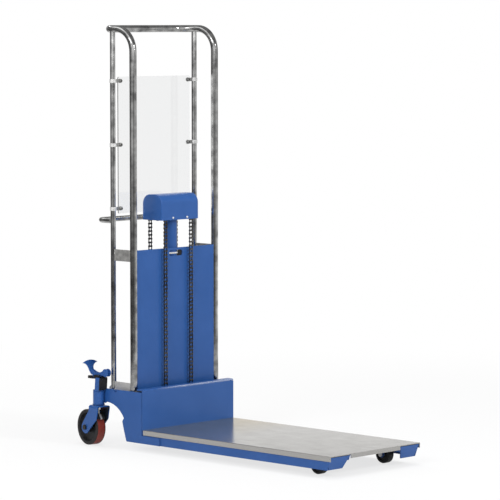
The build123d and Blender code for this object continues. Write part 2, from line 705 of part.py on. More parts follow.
def brake_pedal():
    """Rocking channel lever with a round nose, a swan-necked tread above and a toe tab below."""
    half = PEDAL_HALF
    pivot = (PEDAL_PIVOT_Y, PEDAL_PIVOT_Z)
    top = PEDAL_UNDER + PEDAL_T
    lever = block(-half, half, PEDAL_WEB_START, PEDAL_END, PEDAL_UNDER, top)
    heel = (PEDAL_END, PEDAL_UNDER)
    flange = outline(
        ThreePointArc(NOSE_FOOT, FLANGE_ARCH, heel), Line(heel, FLANGE_REAR),
        ThreePointArc(FLANGE_REAR, FLANGE_DIP, NOSE_TOP), Line(NOSE_TOP, NOSE_FOOT))
    flange += Pos(*NOSE) * Circle(NOSE_R)
    for near in (-half, half - PEDAL_FLANGE_T):
        lever += prism_x(flange, near, near + PEDAL_FLANGE_T)
    lever += pedal_tread()
    lever += block(-TOE_HALF, TOE_HALF, PEDAL_END - 6, PEDAL_END, TOE_Z[0], top)
    toe = block(-TOE_HALF, TOE_HALF, PEDAL_END - 6, TOE_END, *TOE_Z)
    lever += fillet(toe.edges().filter_by(Axis.Z).group_by(Axis.Y)[-1], 4)
    return lever - rod_x(-half - 1, half + 1, *pivot, PIN_D + 2 * FIT)


def brake_plunger():
    """Push rod through the hollow kingpin with a curved shoe over the tread."""
    inner_r = WHEEL_D / 2 + SHOE_GAP
    outer_r = inner_r + SHOE_T
    centre = (CASTER_TRAIL, WHEEL_D / 2)

    def spot(radius, angle):
        return (centre[0] + radius * cos(radians(angle)), centre[1] + radius * sin(radians(angle)))

    first, middle, last = 118.0, 135.0, 152.0
    shoe = outline(
        ThreePointArc(spot(inner_r, first), spot(inner_r, middle), spot(inner_r, last)),
        Line(spot(inner_r, last), spot(outer_r, last)),
        ThreePointArc(spot(outer_r, last), spot(outer_r, middle), spot(outer_r, first)),
        Line(spot(outer_r, first), spot(inner_r, first)))
    foot_z = centre[1] + sqrt(outer_r * outer_r - centre[0] * centre[0]) - 2
    rod = rod_z(0, 0, foot_z, BRAKE_ROD_TOP, BRAKE_ROD_D)
    rod = fillet(rod.edges().group_by(Axis.Z)[-1], 2.5)
    return prism_x(shoe, -18, 18) + rod


# Chain and sprockets
def link_plate(radius):
    """Waisted side plate, drawn as (Y, Z) with the pins at plus and minus half a pitch."""
    half = PITCH / 2
    side = sqrt(radius * radius - PLATE_SHOULDER * PLATE_SHOULDER)
    waist = radius * PLATE_WAIST
    shoulder = half - PLATE_SHOULDER
    upper = ((side, shoulder), (0, half + radius), (-side, shoulder))
    lower = ((-side, -shoulder), (0, -half - radius), (side, -shoulder))
    return outline(
        ThreePointArc(*upper), ThreePointArc(upper[2], (-waist, 0), lower[0]),
        ThreePointArc(*lower), ThreePointArc(lower[2], (waist, 0), upper[0]))


def inner_link():
    """Two plates on two bushed rollers."""
    inside = INNER_WIDTH / 2
    plate = link_plate(INNER_PLATE_R)
    link = prism_x(plate, inside, inside + LINK_T) + prism_x(plate, -inside - LINK_T, -inside)
    for z in (-PITCH / 2, PITCH / 2):
        link += rod_x(-inside, inside, 0, z, ROLLER_LINK_D)
    for z in (-PITCH / 2, PITCH / 2):
        link -= rod_x(-INNER_WIDTH, INNER_WIDTH, 0, z, BUSH_BORE)
    return link


def outer_link():
    """Two plates on two riveted pins."""
    inside = INNER_WIDTH / 2 + LINK_T + LINK_GAP
    plate = link_plate(OUTER_PLATE_R)
    link = prism_x(plate, inside, inside + LINK_T) + prism_x(plate, -inside - LINK_T, -inside)
    head = inside + LINK_T + PIN_HEAD
    for z in (-PITCH / 2, PITCH / 2):
        link += rod_x(-head, head, 0, z, LINK_PIN_D)
    return link


def chain_run(x, pins, first_index):
    """Links between neighbouring pins, inner ones at even places along the chain."""
    links = (inner_link(), outer_link())
    run = []
    for step, (start, end) in enumerate(zip(pins, pins[1:])):
        middle = ((start[0] + end[0]) / 2, (start[1] + end[1]) / 2)
        turn = degrees(atan2(-(end[0] - start[0]), end[1] - start[1]))
        place = Pos(x, *middle) * Rot(turn, 0, 0)
        run.append(place * links[(first_index + step) % 2])
    return run


def front_pins():
    return [(FRONT_STRAND_Y, FRONT_PIN_Z + k * PITCH) for k in range(FRONT_LINKS + 1)]


def wrap_pins():
    wrap_links = TEETH // 2
    radius = PITCH / sin(pi / TEETH) / 2
    pins = []
    for k in range(wrap_links + 1):
        angle = pi - 2 * pi * k / TEETH
        pins.append((RAM_Y + radius * cos(angle), SPROCKET_Z + radius * sin(angle)))
    return pins


def back_pins():
    return [(BACK_STRAND_Y, SPROCKET_Z - k * PITCH) for k in range(BACK_LINKS + 1)]


def chains(pins, first_index):
    return chain_run(-CHAIN_X, pins, first_index) + chain_run(CHAIN_X, pins, first_index)


def sprocket(x):
    """Toothed wheel with a roller seat for every link and a long hub on one side."""
    pitch_r = PITCH / sin(pi / TEETH) / 2
    tip_r = PITCH * (0.6 + 1 / tan(pi / TEETH)) / 2
    beyond = tip_r + 2
    mouth = SEAT_R + (beyond - pitch_r) * tan(radians(FLANK_ANGLE))
    gap = make_face(Polyline((pitch_r, -SEAT_R), (beyond, -mouth), (beyond, mouth), (pitch_r, SEAT_R),
                             close=True))
    gap += Pos(pitch_r, 0) * Circle(SEAT_R)
    wheel = Circle(tip_r)
    for tooth in range(TEETH):
        wheel -= Rot(0, 0, 360 * tooth / TEETH) * gap
    rim = Pos(x, RAM_Y, SPROCKET_Z) * prism_x(wheel, -TOOTH_W / 2, TOOTH_W / 2)
    side = 1 if x > 0 else -1
    near, far = (side * end for end in HUB_X)
    hub = rod_x(near, far, RAM_Y, SPROCKET_Z, HUB_D)
    hub = fillet(hub.edges().filter_by(GeomType.CIRCLE), 2)
    return rim + hub - rod_x(near, far, RAM_Y, SPROCKET_Z, SHAFT_D + 2 * FIT)


def chain_anchor_bracket():
    """Bridge behind the mast plate that holds the fixed ends of the chains."""
    plate_rear = MAST_PLATE_FRONT + MAST_PLATE_T
    top = BACK_PIN_Z - ANCHOR_DROP
    front = BACK_STRAND_Y - BRIDGE_HALF_D
    rear = BACK_STRAND_Y + BRIDGE_HALF_D
    bridge = block(-BRIDGE_HALF_W, BRIDGE_HALF_W, front, rear, top - BRIDGE_T, top)
    arm = make_face(Polyline((plate_rear, top - BRIDGE_ARM_H), (plate_rear, top), (rear, top),
                             (rear, top - BRIDGE_T - 4), (plate_rear + 30, top - BRIDGE_ARM_H), close=True))
    for near in (-BRIDGE_HALF_W - BRIDGE_ARM_T, BRIDGE_HALF_W):
        bridge += prism_x(arm, near, near + BRIDGE_ARM_T)
    for x in (-CHAIN_X, CHAIN_X):
        bridge -= rod_z(x, BACK_STRAND_Y, top - BRIDGE_T, top, STUD_HOLE_D)
    return bridge


def round_ended(foot_z, pin_z, radius):
    """Upright lug drawn as (Y, Z), round about its pin."""
    return outline(
        Line((-radius, foot_z), (radius, foot_z)), Line((radius, foot_z), (radius, pin_z)),
        ThreePointArc((radius, pin_z), (0, pin_z + radius), (-radius, pin_z)),
        Line((-radius, pin_z), (-radius, foot_z)))


def chain_anchor_eye(x):
    """Threaded eye bolt whose tongue takes the last pin of a fixed strand."""
    seat = BACK_PIN_Z - ANCHOR_DROP
    collar = 4.0
    tongue = round_ended(seat + collar, BACK_PIN_Z, EYE_R) - Pos(0, BACK_PIN_Z) * Circle(BUSH_BORE / 2)
    eye = Pos(x, BACK_STRAND_Y) * prism_x(tongue, -EYE_HALF_T, EYE_HALF_T)
    eye += rod_z(x, BACK_STRAND_Y, seat, seat + collar, STUD_D + 9)
    eye += rod_z(x, BACK_STRAND_Y, seat - BRIDGE_T - NUT_H - 10, seat, STUD_D)
    return eye + hex_z(x, BACK_STRAND_Y, seat - BRIDGE_T - NUT_H, seat - BRIDGE_T, STUD_NUT)


def carriage_anchor(x):
    """Threaded clevis whose pin carries the first link of a lifting strand."""
    low, seat = BAR_Z
    collar = 3.5
    outer = CLEVIS_GAP + CLEVIS_T
    ear = round_ended(seat + collar - 0.5, FRONT_PIN_Z, CLEVIS_R)
    place = Pos(x, FRONT_STRAND_Y)
    clevis = place * prism_x(ear, CLEVIS_GAP, outer) + place * prism_x(ear, -outer, -CLEVIS_GAP)
    clevis += place * block(-outer, outer, -CLEVIS_R, CLEVIS_R, seat, seat + collar)
    clevis += rod_x(x - outer - 1.5, x + outer + 1.5, FRONT_STRAND_Y, FRONT_PIN_Z, LINK_PIN_D)
    clevis += rod_z(x, FRONT_STRAND_Y, low - NUT_H - 8, seat, STUD_D)
    return clevis + hex_z(x, FRONT_STRAND_Y, low - NUT_H, low, STUD_NUT)


# Cylinder and chain head
def cylinder_barrel():
    """Tube with a flanged foot, bored for the piston, and a port boss near the foot."""
    floor = LEG_BOTTOM + FLOOR_T
    barrel = rod_z(0, RAM_Y, floor, BARREL_TOP, BARREL_D) + rod_z(0, RAM_Y, floor, floor + FOOT_H, FOOT_D)
    barrel += rod_x(0, BARREL_D / 2 + PORT_REACH, RAM_Y, PIPE_PORT_Z, PORT_D)
    barrel -= rod_z(0, RAM_Y, floor + FOOT_H + 4, BARREL_TOP, BARREL_BORE)
    return barrel - rod_x(0, BARREL_D, RAM_Y, PIPE_PORT_Z, PIPE_D - 3)


def cylinder_gland():
    gland = rod_z(0, RAM_Y, BARREL_TOP, GLAND_TOP, GLAND_D)
    gland = chamfer(gland.edges().group_by(Axis.Z)[-1], 3)
    for angle in (45, 135, 225, 315):
        gland -= Pos(0, RAM_Y, 0) * Rot(0, 0, angle) * rod_z(GLAND_D / 2, 0, BARREL_TOP + 4, GLAND_TOP, 7)
    return gland - rod_z(0, RAM_Y, BARREL_TOP, GLAND_TOP, ROD_D + 2 * FIT)


def cylinder_clamp():
    """Ring round the barrel that shows in the slot, with one ear on the back of the mast plate."""
    low = SLOT_Z - CLAMP_RING_H / 2
    high = SLOT_Z + CLAMP_RING_H / 2
    rear = MAST_PLATE_FRONT + MAST_PLATE_T
    ring = rod_z(0, RAM_Y, low, high, CLAMP_RING_D)
    ring += block(CLAMP_EAR_X, 0, rear, rear + CLAMP_EAR_T, low, high)
    return ring - rod_z(0, RAM_Y, low, high, BARREL_D + 2 * FIT)


def ram_rod():
    rod = rod_z(0, RAM_Y, PISTON_BOTTOM, ROD_TOP, ROD_D)
    return rod + rod_z(0, RAM_Y, PISTON_BOTTOM, PISTON_BOTTOM + PISTON_H, BARREL_BORE - 2 * FIT)


def crosshead():
    """Yoke on the ram with the shaft bore and two hanger plates for the hood."""
    yoke = block(-HEAD_HALF_W, HEAD_HALF_W, RAM_Y - HEAD_HALF_D, RAM_Y + HEAD_HALF_D, HEAD_BOTTOM, HEAD_TOP)
    yoke = fillet(yoke.edges().filter_by(Axis.X), 8)
    face = HOOD_HALF_D - HOOD_T
    for side in (-1, 1):
        outer = RAM_Y + side * face
        inner = outer - side * HANGER_T
        yoke += block(-HANGER_HALF_W, HANGER_HALF_W, inner, outer, HOOD_BOTTOM + 2, SPROCKET_Z)
        for x in HANGER_WEB_X:
            yoke += block(x, x + HANGER_WEB_T, RAM_Y + side * (HEAD_HALF_D - 2), outer - side * 1,
                          HEAD_BOTTOM + 10, SPROCKET_Z)
    yoke -= rod_z(0, RAM_Y, HEAD_BOTTOM, ROD_TOP, ROD_D + 2 * FIT)
    return yoke - rod_x(-HEAD_HALF_W, HEAD_HALF_W, RAM_Y, SPROCKET_Z, SHAFT_D + 2 * FIT)


def hood_profile(inset, bottom):
    """Arch drawn as (Y, Z): upright sides, round shoulders and a flat crown."""
    front = RAM_Y - HOOD_HALF_D + inset
    rear = RAM_Y + HOOD_HALF_D - inset
    top = HOOD_TOP - inset
    arch = make_face(Polyline((front, bottom), (rear, bottom), (rear, top), (front, top), close=True))
    return fillet(arch.vertices().group_by(Axis.Y)[-1], HOOD_CORNER - inset)


def hood():
    """Arched sheet cover over the sprockets, open below."""
    cover = prism_x(hood_profile(0, HOOD_BOTTOM), -HOOD_HALF_W, HOOD_HALF_W)
    ends = cover.edges().group_by(Axis.X)
    rims = [edge for edge in [*ends[0], *ends[-1]] if edge.center().Z > HOOD_BOTTOM + 1]
    cover = fillet(rims, HOOD_EDGE_R)
    inside = HOOD_HALF_W - HOOD_T
    return cover - prism_x(hood_profile(HOOD_T, HOOD_BOTTOM - 1), -inside, inside)


# Carriage
def apron():
    """Front sheet of the carriage, folded back along its top edge."""
    wide = APRON_HALF_W
    sheet = block(-wide, wide, APRON_FRONT, APRON_FRONT + APRON_T, DECK_TOP - DECK_T, APRON_TOP)
    sheet += block(-wide, wide, APRON_FRONT, APRON_FRONT + APRON_FLANGE, APRON_TOP - APRON_T, APRON_TOP)
    fold = sheet.edges().filter_by(Axis.X).group_by(Axis.Z)[-1].sort_by(Axis.Y)[0]
    return fillet(fold, 3.5)


def platform_deck():
    """Sheet deck with turned down side lips and a front lip between the legs."""
    under = DECK_TOP - DECK_T
    lip_inner = DECK_HALF_W - DECK_LIP_T
    section = Polyline(
        (-DECK_HALF_W, DECK_TOP - DECK_LIP), (-DECK_HALF_W, DECK_TOP), (DECK_HALF_W, DECK_TOP),
        (DECK_HALF_W, DECK_TOP - DECK_LIP), (lip_inner, DECK_TOP - DECK_LIP), (lip_inner, under),
        (-lip_inner, under), (-lip_inner, DECK_TOP - DECK_LIP), close=True)
    deck = prism_y(make_face(section), DECK_FRONT, APRON_FRONT)
    deck = fillet(deck.edges().filter_by(Axis.Y).group_by(Axis.Z)[-1], 2)
    lip_rear = DECK_FRONT + DECK_LIP_T
    return deck + block(-FRONT_LIP_HALF, FRONT_LIP_HALF, DECK_FRONT, lip_rear, DECK_TOP - FRONT_LIP, under)


def platform_fork():
    """Angle fork: flat blade under the deck, tapered to its tip, and a shank behind the apron."""
    top = DECK_TOP - DECK_T
    back = APRON_FRONT + APRON_T
    rear = back + FORK_BAR_T
    section = Polyline((FORK_BAR_FRONT, top), (back, top), (back, FORK_SHANK_TOP), (rear, FORK_SHANK_TOP),
                       (rear, top - FORK_BAR_T), (back - 250, top - FORK_BAR_T),
                       (FORK_BAR_FRONT, top - FORK_BAR_TIP), close=True)
    fork = prism_x(make_face(section), FORK_BAR_X[0], FORK_BAR_X[1])
    heel = fork.edges().filter_by(Axis.X).group_by(Axis.Y)[-1].sort_by(Axis.Z)[0]
    return fillet(heel, 12)


def carriage_cheek():
    """Upright rib between the apron, the shoes and the chain bar."""
    low, high = CHEEK_Z
    face = make_face(Polyline((APRON_FRONT + APRON_T, low), (CHEEK_REAR, low), (CHEEK_REAR, high - 25),
                              (CHEEK_REAR - 20, high), (APRON_FRONT + APRON_T, high), close=True))
    face -= Pos((APRON_FRONT + CHEEK_REAR) / 2, 168) * Circle(16)
    return prism_x(face, *CHEEK_X)


def guide_shoe(low, high):
    """Polymer shoe that hooks round the front and the outer side of a loop upright."""
    body = block(CHEEK_X[1], SHOE_OUTER_X, SHOE_FRONT, SHOE_FACE, low, high)
    body = chamfer(body.edges().filter_by(Axis.Z).group_by(Axis.Y)[0], 6)
    body += block(SHOE_HOOK_X, SHOE_OUTER_X, SHOE_FACE, SHOE_REAR, low, high)
    return body - rod_z(TUBE_X, FRONT_Y, low - 1, high + 1, LOOP_D + 2 * SHOE_CLEAR)


def chain_bar():
    bar = block(-CHEEK_X[0], CHEEK_X[0], *BAR_Y, *BAR_Z)
    for x in (-CHAIN_X, CHAIN_X):
        bar -= rod_z(x, FRONT_STRAND_Y, *BAR_Z, STUD_HOLE_D)
    return bar


# Pump unit
def pump_block():
    """Pump casting with the plunger bore, ears for the pedal pin and a boss for the lowering pin."""
    body = block(*PUMP_X, *PUMP_Y, SHELF_TOP, PUMP_TOP)
    body = fillet(body.edges().filter_by(Axis.Z), 6)
    y, z = PUMP_PIVOT
    foot_z = PUMP_TOP - 5
    ear = make_face(Polyline((y - 9, foot_z), (y + 14, foot_z), (y + 9, z), (y - 9, z), close=True))
    ear += Pos(y, z) * Circle(9)
    for near in (PLUNGER_X - 17, PLUNGER_X + 10):
        body += prism_x(ear, near, near + 7)
    body += rod_z(PLUNGER_X, PLUNGER_Y, PUMP_TOP, PUMP_TOP + 4, PLUNGER_D + 10)
    body += rod_x(PUMP_X[1] - 4, PUMP_X[1] + 6, *RELEASE_PIVOT, 22)
    body -= rod_z(PLUNGER_X, PLUNGER_Y, SHELF_TOP + 10, PUMP_TOP + 20, PLUNGER_D + 2 * FIT)
    body -= rod_x(PUMP_X[1] - 3, PUMP_X[1] + 6, *RELEASE_PIVOT, PIN_D + 2 * FIT)
    return body - rod_x(PUMP_X[0], PUMP_X[1], y, z, PIN_D + 2 * FIT)


def oil_tank():
    """Oil tank beside the pump with a breather cap."""
    tank = block(*TANK_X, *TANK_Y, SHELF_TOP, TANK_TOP)
    tank = fillet(tank.edges().filter_by(Axis.Z).group_by(Axis.X)[0], 14)
    tank = fillet(tank.edges().group_by(Axis.Z)[-1], 5)
    neck = rod_z(TANK_X[0] + 30, 0, TANK_TOP - 2, TANK_TOP + 6, 18)
    return tank + neck + hex_z(TANK_X[0] + 30, 0, TANK_TOP + 6, TANK_TOP + 14, 24)


def pump_plunger():
    """Plunger with a domed head just under the pedal arm."""
    lean = radians(PUMP_REST_ANGLE)
    arm_z = PUMP_PIVOT[1] + (PLUNGER_Y - PUMP_PIVOT[0]) * tan(lean)
    head = arm_z - PEDAL_TUBE / 2 / cos(lean) - PLUNGER_GAP
    rod = rod_z(PLUNGER_X, PLUNGER_Y, SHELF_TOP + 42, head, PLUNGER_D)
    return fillet(rod.edges().group_by(Axis.Z)[-1], 6)


def pump_pedal():
    """Foot lever on its pin, with a ribbed tread, drawn level and raised to its rest angle."""
    top = PEDAL_TUBE / 2
    near = PLUNGER_X - TREAD_HALF_W
    far = PLUNGER_X + TREAD_HALF_W
    arm = rod_x(PLUNGER_X - 9.5, PLUNGER_X + 9.5, 0, 0, PEDAL_TUBE + 4)
    arm += block(PLUNGER_X - top, PLUNGER_X + top, 0, PUMP_ARM, -top, top)
    tread = block(near, far, PUMP_ARM - TREAD_L, PUMP_ARM, top - 1, top + 5)
    tread = fillet(tread.edges().filter_by(Axis.Z), 8)
    for rib in range(TREAD_RIBS):
        groove = PUMP_ARM - TREAD_L + 6 + rib * TREAD_L / TREAD_RIBS
        tread -= block(near, far, groove, groove + 3, top + 3.5, top + 6)
    arm += tread
    arm -= rod_x(near, far, 0, 0, PIN_D + 2 * FIT)
    return Pos(0, *PUMP_PIVOT) * Rot(PUMP_REST_ANGLE, 0, 0) * arm


def release_pedal():
    """Small lowering pedal beside the pump."""
    y, z = RELEASE_PIVOT
    lever = rod_x(RELEASE_X - 7, RELEASE_X + 7, y, z, 18)
    lever += block(RELEASE_X - 5, RELEASE_X + 5, y, y + RELEASE_ARM, z - 4, z + 4)
    pad = block(RELEASE_X - 18, RELEASE_X + 18, y + RELEASE_ARM - 34, y + RELEASE_ARM, z + 2, z + 8)
    lever += fillet(pad.edges().filter_by(Axis.Z), 6)
    return lever - rod_x(RELEASE_X - 20, RELEASE_X + 20, y, z, PIN_D + 2 * FIT)


def pump_pins():
    """Pedal pin and lowering pin, each with a head."""
    y, z = PUMP_PIVOT
    head_x = PLUNGER_X + 17
    pedal = rod_x(PLUNGER_X - 19, head_x + 3, y, z, PIN_D) + rod_x(head_x, head_x + 3, y, z, PIN_D + 4)
    y, z = RELEASE_PIVOT
    head_x = RELEASE_X + 8
    lower = rod_x(PUMP_X[1] - 2, head_x + 3, y, z, PIN_D) + rod_x(head_x, head_x + 3, y, z, PIN_D + 5)
    return [pedal, lower]


def hydraulic_pipe():
    """Steel pipe from the pump to the port near the cylinder foot, with its union nuts."""
    port_x = BARREL_D / 2 + PORT_REACH
    top = 268.0
    points = [(PIPE_X, PUMP_Y[0], top), (PIPE_X, PIPE_DROP_Y, top), (PIPE_X, PIPE_DROP_Y, PIPE_PORT_Z),
              (PIPE_X, RAM_Y, PIPE_PORT_Z), (port_x, RAM_Y, PIPE_PORT_Z)]
    path = FilletPolyline(*points, radius=PIPE_BEND)
    start = Plane(points[0], x_dir=(1, 0, 0), z_dir=(0, -1, 0))
    pipe = sweep(start * Circle(PIPE_D / 2), path=path)
    nut = Pos(PIPE_X, PUMP_Y[0], top) * Rot(90, 0, 0) * extrude(RegularPolygon(7, 6, major_radius=False), 8)
    return pipe + nut + hex_x(port_x, port_x + 9, RAM_Y, PIPE_PORT_Z, 14)


def assemble():
    """Every node of the lift, by name."""
    loop_solid = loop_tube(LOOP_D)
    left_caster = {"caster_fork": caster_fork(), "caster_axle": caster_axle(), "wheel_core": wheel_core(),
                   "wheel_tread": wheel_tread(), "brake_plunger": brake_plunger()}
    nodes = {
        "handle_loop": loop_solid - loop_tube(LOOP_D - 2 * LOOP_WALL),
        "rear_tubes": rear_tubes(loop_solid),
        "mast_gussets": mast_gussets(loop_solid),
        "push_handle": push_handle(),
        "mast_plate": mast_plate(loop_solid),
        "guard_panel": guard_panel(),
        "guard_clamps": guard_clamps(),
        "base_floor": base_floor(),
        "base_shelf": base_shelf(),
        "caster_housings": both_sides(left_housing()),
        "brake_brackets": both_sides(placed_caster(brake_bracket(), turned=False)),
        "brake_blocks": both_sides(placed_caster(brake_block(), turned=False)),
        "brake_pins": both_sides(placed_caster(brake_pin(), turned=False)),
        "roller_axles": both_sides(roller_axle()),
        "cylinder_barrel": cylinder_barrel(),
        "cylinder_gland": cylinder_gland(),
        "cylinder_clamp": cylinder_clamp(),
        "chain_anchor_bracket": chain_anchor_bracket(),
        "chain_anchor_eyes": [chain_anchor_eye(-CHAIN_X), chain_anchor_eye(CHAIN_X)],
        "back_chains": chains(back_pins(), FRONT_LINKS + TEETH // 2),
        "pump_block": pump_block(),
        "oil_tank": oil_tank(),
        "pump_pins": pump_pins(),
        "hydraulic_pipe": hydraulic_pipe(),
        "ram_rod": ram_rod(),
        "crosshead": crosshead(),
        "sprocket_shaft": rod_x(-HOOD_HALF_W + HOOD_T, HOOD_HALF_W - HOOD_T, RAM_Y, SPROCKET_Z, SHAFT_D),
        "hood": hood(),
        "left_sprocket": sprocket(-CHAIN_X),
        "right_sprocket": sprocket(CHAIN_X),
        "chain_wraps": chains(wrap_pins(), FRONT_LINKS),
        "apron": apron(),
        "platform_deck": platform_deck(),
        "platform_forks": both_sides(platform_fork()),
        "carriage_cheeks": both_sides(carriage_cheek()),
        "guide_shoes": [shoe for band in SHOE_BANDS for shoe in both_sides(guide_shoe(*band))],
        "chain_bar": chain_bar(),
        "carriage_anchors": [carriage_anchor(-CHAIN_X), carriage_anchor(CHAIN_X)],
        "front_chains": chains(front_pins(), 0),
        "pump_plunger": pump_plunger(),
        "pump_pedal": pump_pedal(),
        "release_pedal": release_pedal(),
    }
    paired = {"side_plate": left_side_plate(), "leg": left_leg(), "front_roller": front_roller(),
              "brake_pedal": placed_caster(brake_pedal(), turned=False)}
    paired.update({name: placed_caster(shape) for name, shape in left_caster.items()})
    for name, shape in paired.items():
        nodes["left_" + name], nodes["right_" + name] = both_sides(shape)
    return nodes


def write(nodes):
    """One STEP file for each node, in the part's own frame."""
    os.makedirs("parts", exist_ok=True)
    for name, shape in nodes.items():
        pieces = shape if isinstance(shape, list) else [shape]
        solids = [solid for piece in pieces for solid in piece.solids()]
        body = solids[0] if len(solids) == 1 else Compound(solids)
        export_step(Pos(0, FRAME_SHIFT_Y, 0) * body, os.path.join("parts", name + ".step"))


write(assemble())
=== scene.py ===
"""Looks of a portable hydraulic lift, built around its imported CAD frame."""

from __future__ import annotations

import json
import logging
import math
from dataclasses import dataclass
from enum import Enum
from typing import Callable, Iterable, Sequence

import bmesh
import bpy
from bmesh.types import BMEdge, BMesh, BMVert
from bpy.types import Camera, Light, Material, Node, NodeTree, Object
from bpy.types import NodeSocket as Socket
from mathutils import Matrix, Vector

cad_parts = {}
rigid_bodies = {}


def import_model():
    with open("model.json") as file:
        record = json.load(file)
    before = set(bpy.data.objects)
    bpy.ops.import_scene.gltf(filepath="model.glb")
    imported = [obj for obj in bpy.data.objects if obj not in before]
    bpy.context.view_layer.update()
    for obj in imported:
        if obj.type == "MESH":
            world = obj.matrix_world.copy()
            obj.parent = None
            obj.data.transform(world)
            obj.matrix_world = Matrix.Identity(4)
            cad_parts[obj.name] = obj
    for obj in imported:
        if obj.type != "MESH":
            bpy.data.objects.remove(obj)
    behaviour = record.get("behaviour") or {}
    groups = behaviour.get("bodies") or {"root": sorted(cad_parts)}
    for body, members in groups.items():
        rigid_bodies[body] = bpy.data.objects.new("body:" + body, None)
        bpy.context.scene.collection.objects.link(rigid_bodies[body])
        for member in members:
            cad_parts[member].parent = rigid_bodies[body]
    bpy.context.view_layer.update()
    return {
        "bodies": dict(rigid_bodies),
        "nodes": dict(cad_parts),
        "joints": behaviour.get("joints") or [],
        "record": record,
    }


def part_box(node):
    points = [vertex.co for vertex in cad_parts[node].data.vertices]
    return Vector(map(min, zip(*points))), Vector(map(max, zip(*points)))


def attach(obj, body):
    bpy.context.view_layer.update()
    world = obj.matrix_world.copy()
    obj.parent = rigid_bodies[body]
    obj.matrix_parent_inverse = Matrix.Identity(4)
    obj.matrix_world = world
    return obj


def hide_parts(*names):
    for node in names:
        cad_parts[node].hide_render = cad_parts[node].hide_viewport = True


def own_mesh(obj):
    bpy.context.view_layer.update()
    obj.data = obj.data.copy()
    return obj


LOG = logging.getLogger("lift")
MM = 0.001
SIDES = {"left": -1, "right": 1}
UP = (0, 0, 1)
DOWN = (0, 0, -1)
FORWARD = (0, -1, 0)
BACKWARD = (0, 1, 0)
MERGE_GAP = 1e-6
SHARP_ANGLE = math.radians(35.0)

# Places on the lift where a finish changes
KINGPIN_X = 285 * MM
KINGPIN_Y = 582.793 * MM
CASTER_YAW = math.radians(8.5)
# Painted shade fills the fork within FORK_INSIDE of its middle plane and below FORK_CROWN
FORK_INSIDE = 28 * MM
FORK_CROWN = 167 * MM
TREAD_FACE = 16.5 * MM
# Half width of the near-white stripe painted down the middle of each brake shoe, a painted highlight along
# the rod's line
ROD_HALF = 4.3 * MM
# APRON_FRONT places the painted highlight along the apron's top edge
APRON_FRONT = 334.8 * MM
# Gusset bars below LOW_BARS_TOP are painted lighter, a painted reflection of the pale floor
LOW_BARS_TOP = 500 * MM
# Guard clamp tabs within CLAMP_TABS of the middle are grey; the rings beyond keep the near-white painted
# highlight
CLAMP_TABS = 223 * MM
NO_LIMIT = 10.0
ORIGIN = (0.0, 0.0, 0.0)

# Spans of patterns and masks, and layers of a cloudy pattern
CLOUD_SPAN = (0.3, 0.7)
EDGE_TURN = (0.97, 0.85)
LEVEL_TURN = (0.8, 0.5)
FULL_SPAN = (0.0, 1.0)
FINE_LAYERS = 6.0
COARSE_LAYERS = 2.0

# Sockets of a colour Mix node
MIX_FROM = 6
MIX_TO = 7
MIX_RESULT = 2

# Looks other than the slot's own; some are copies painted lighter or darker for light, as marked where each
# finish is made
LOOKS = {"apron": "pressed_paint", "guard_clamps": "clamp_zinc", "brake_pins": "blue_paint",
         "mast_gussets": "grey_zinc_painted_lit_low", "rear_tubes": "chrome_painted_lighter", "cylinder_clamp": "zinc_painted_glint"}
for caster_side in SIDES:
    LOOKS[caster_side + "_caster_axle"] = "chain_steel"
    LOOKS[caster_side + "_brake_plunger"] = caster_side + "_shoe"
    LOOKS[caster_side + "_caster_fork"] = caster_side + "_fork_paint"
    LOOKS[caster_side + "_wheel_tread"] = caster_side + "_tread"


class Grain(Enum):
    """Way that the marks of a worked surface run, as stretch factors of its pattern."""

    ALONG_Y = (1.0, 0.02, 1.0)
    ALONG_Z = (1.0, 1.0, 0.02)
    EVEN = (1.0, 1.0, 1.0)


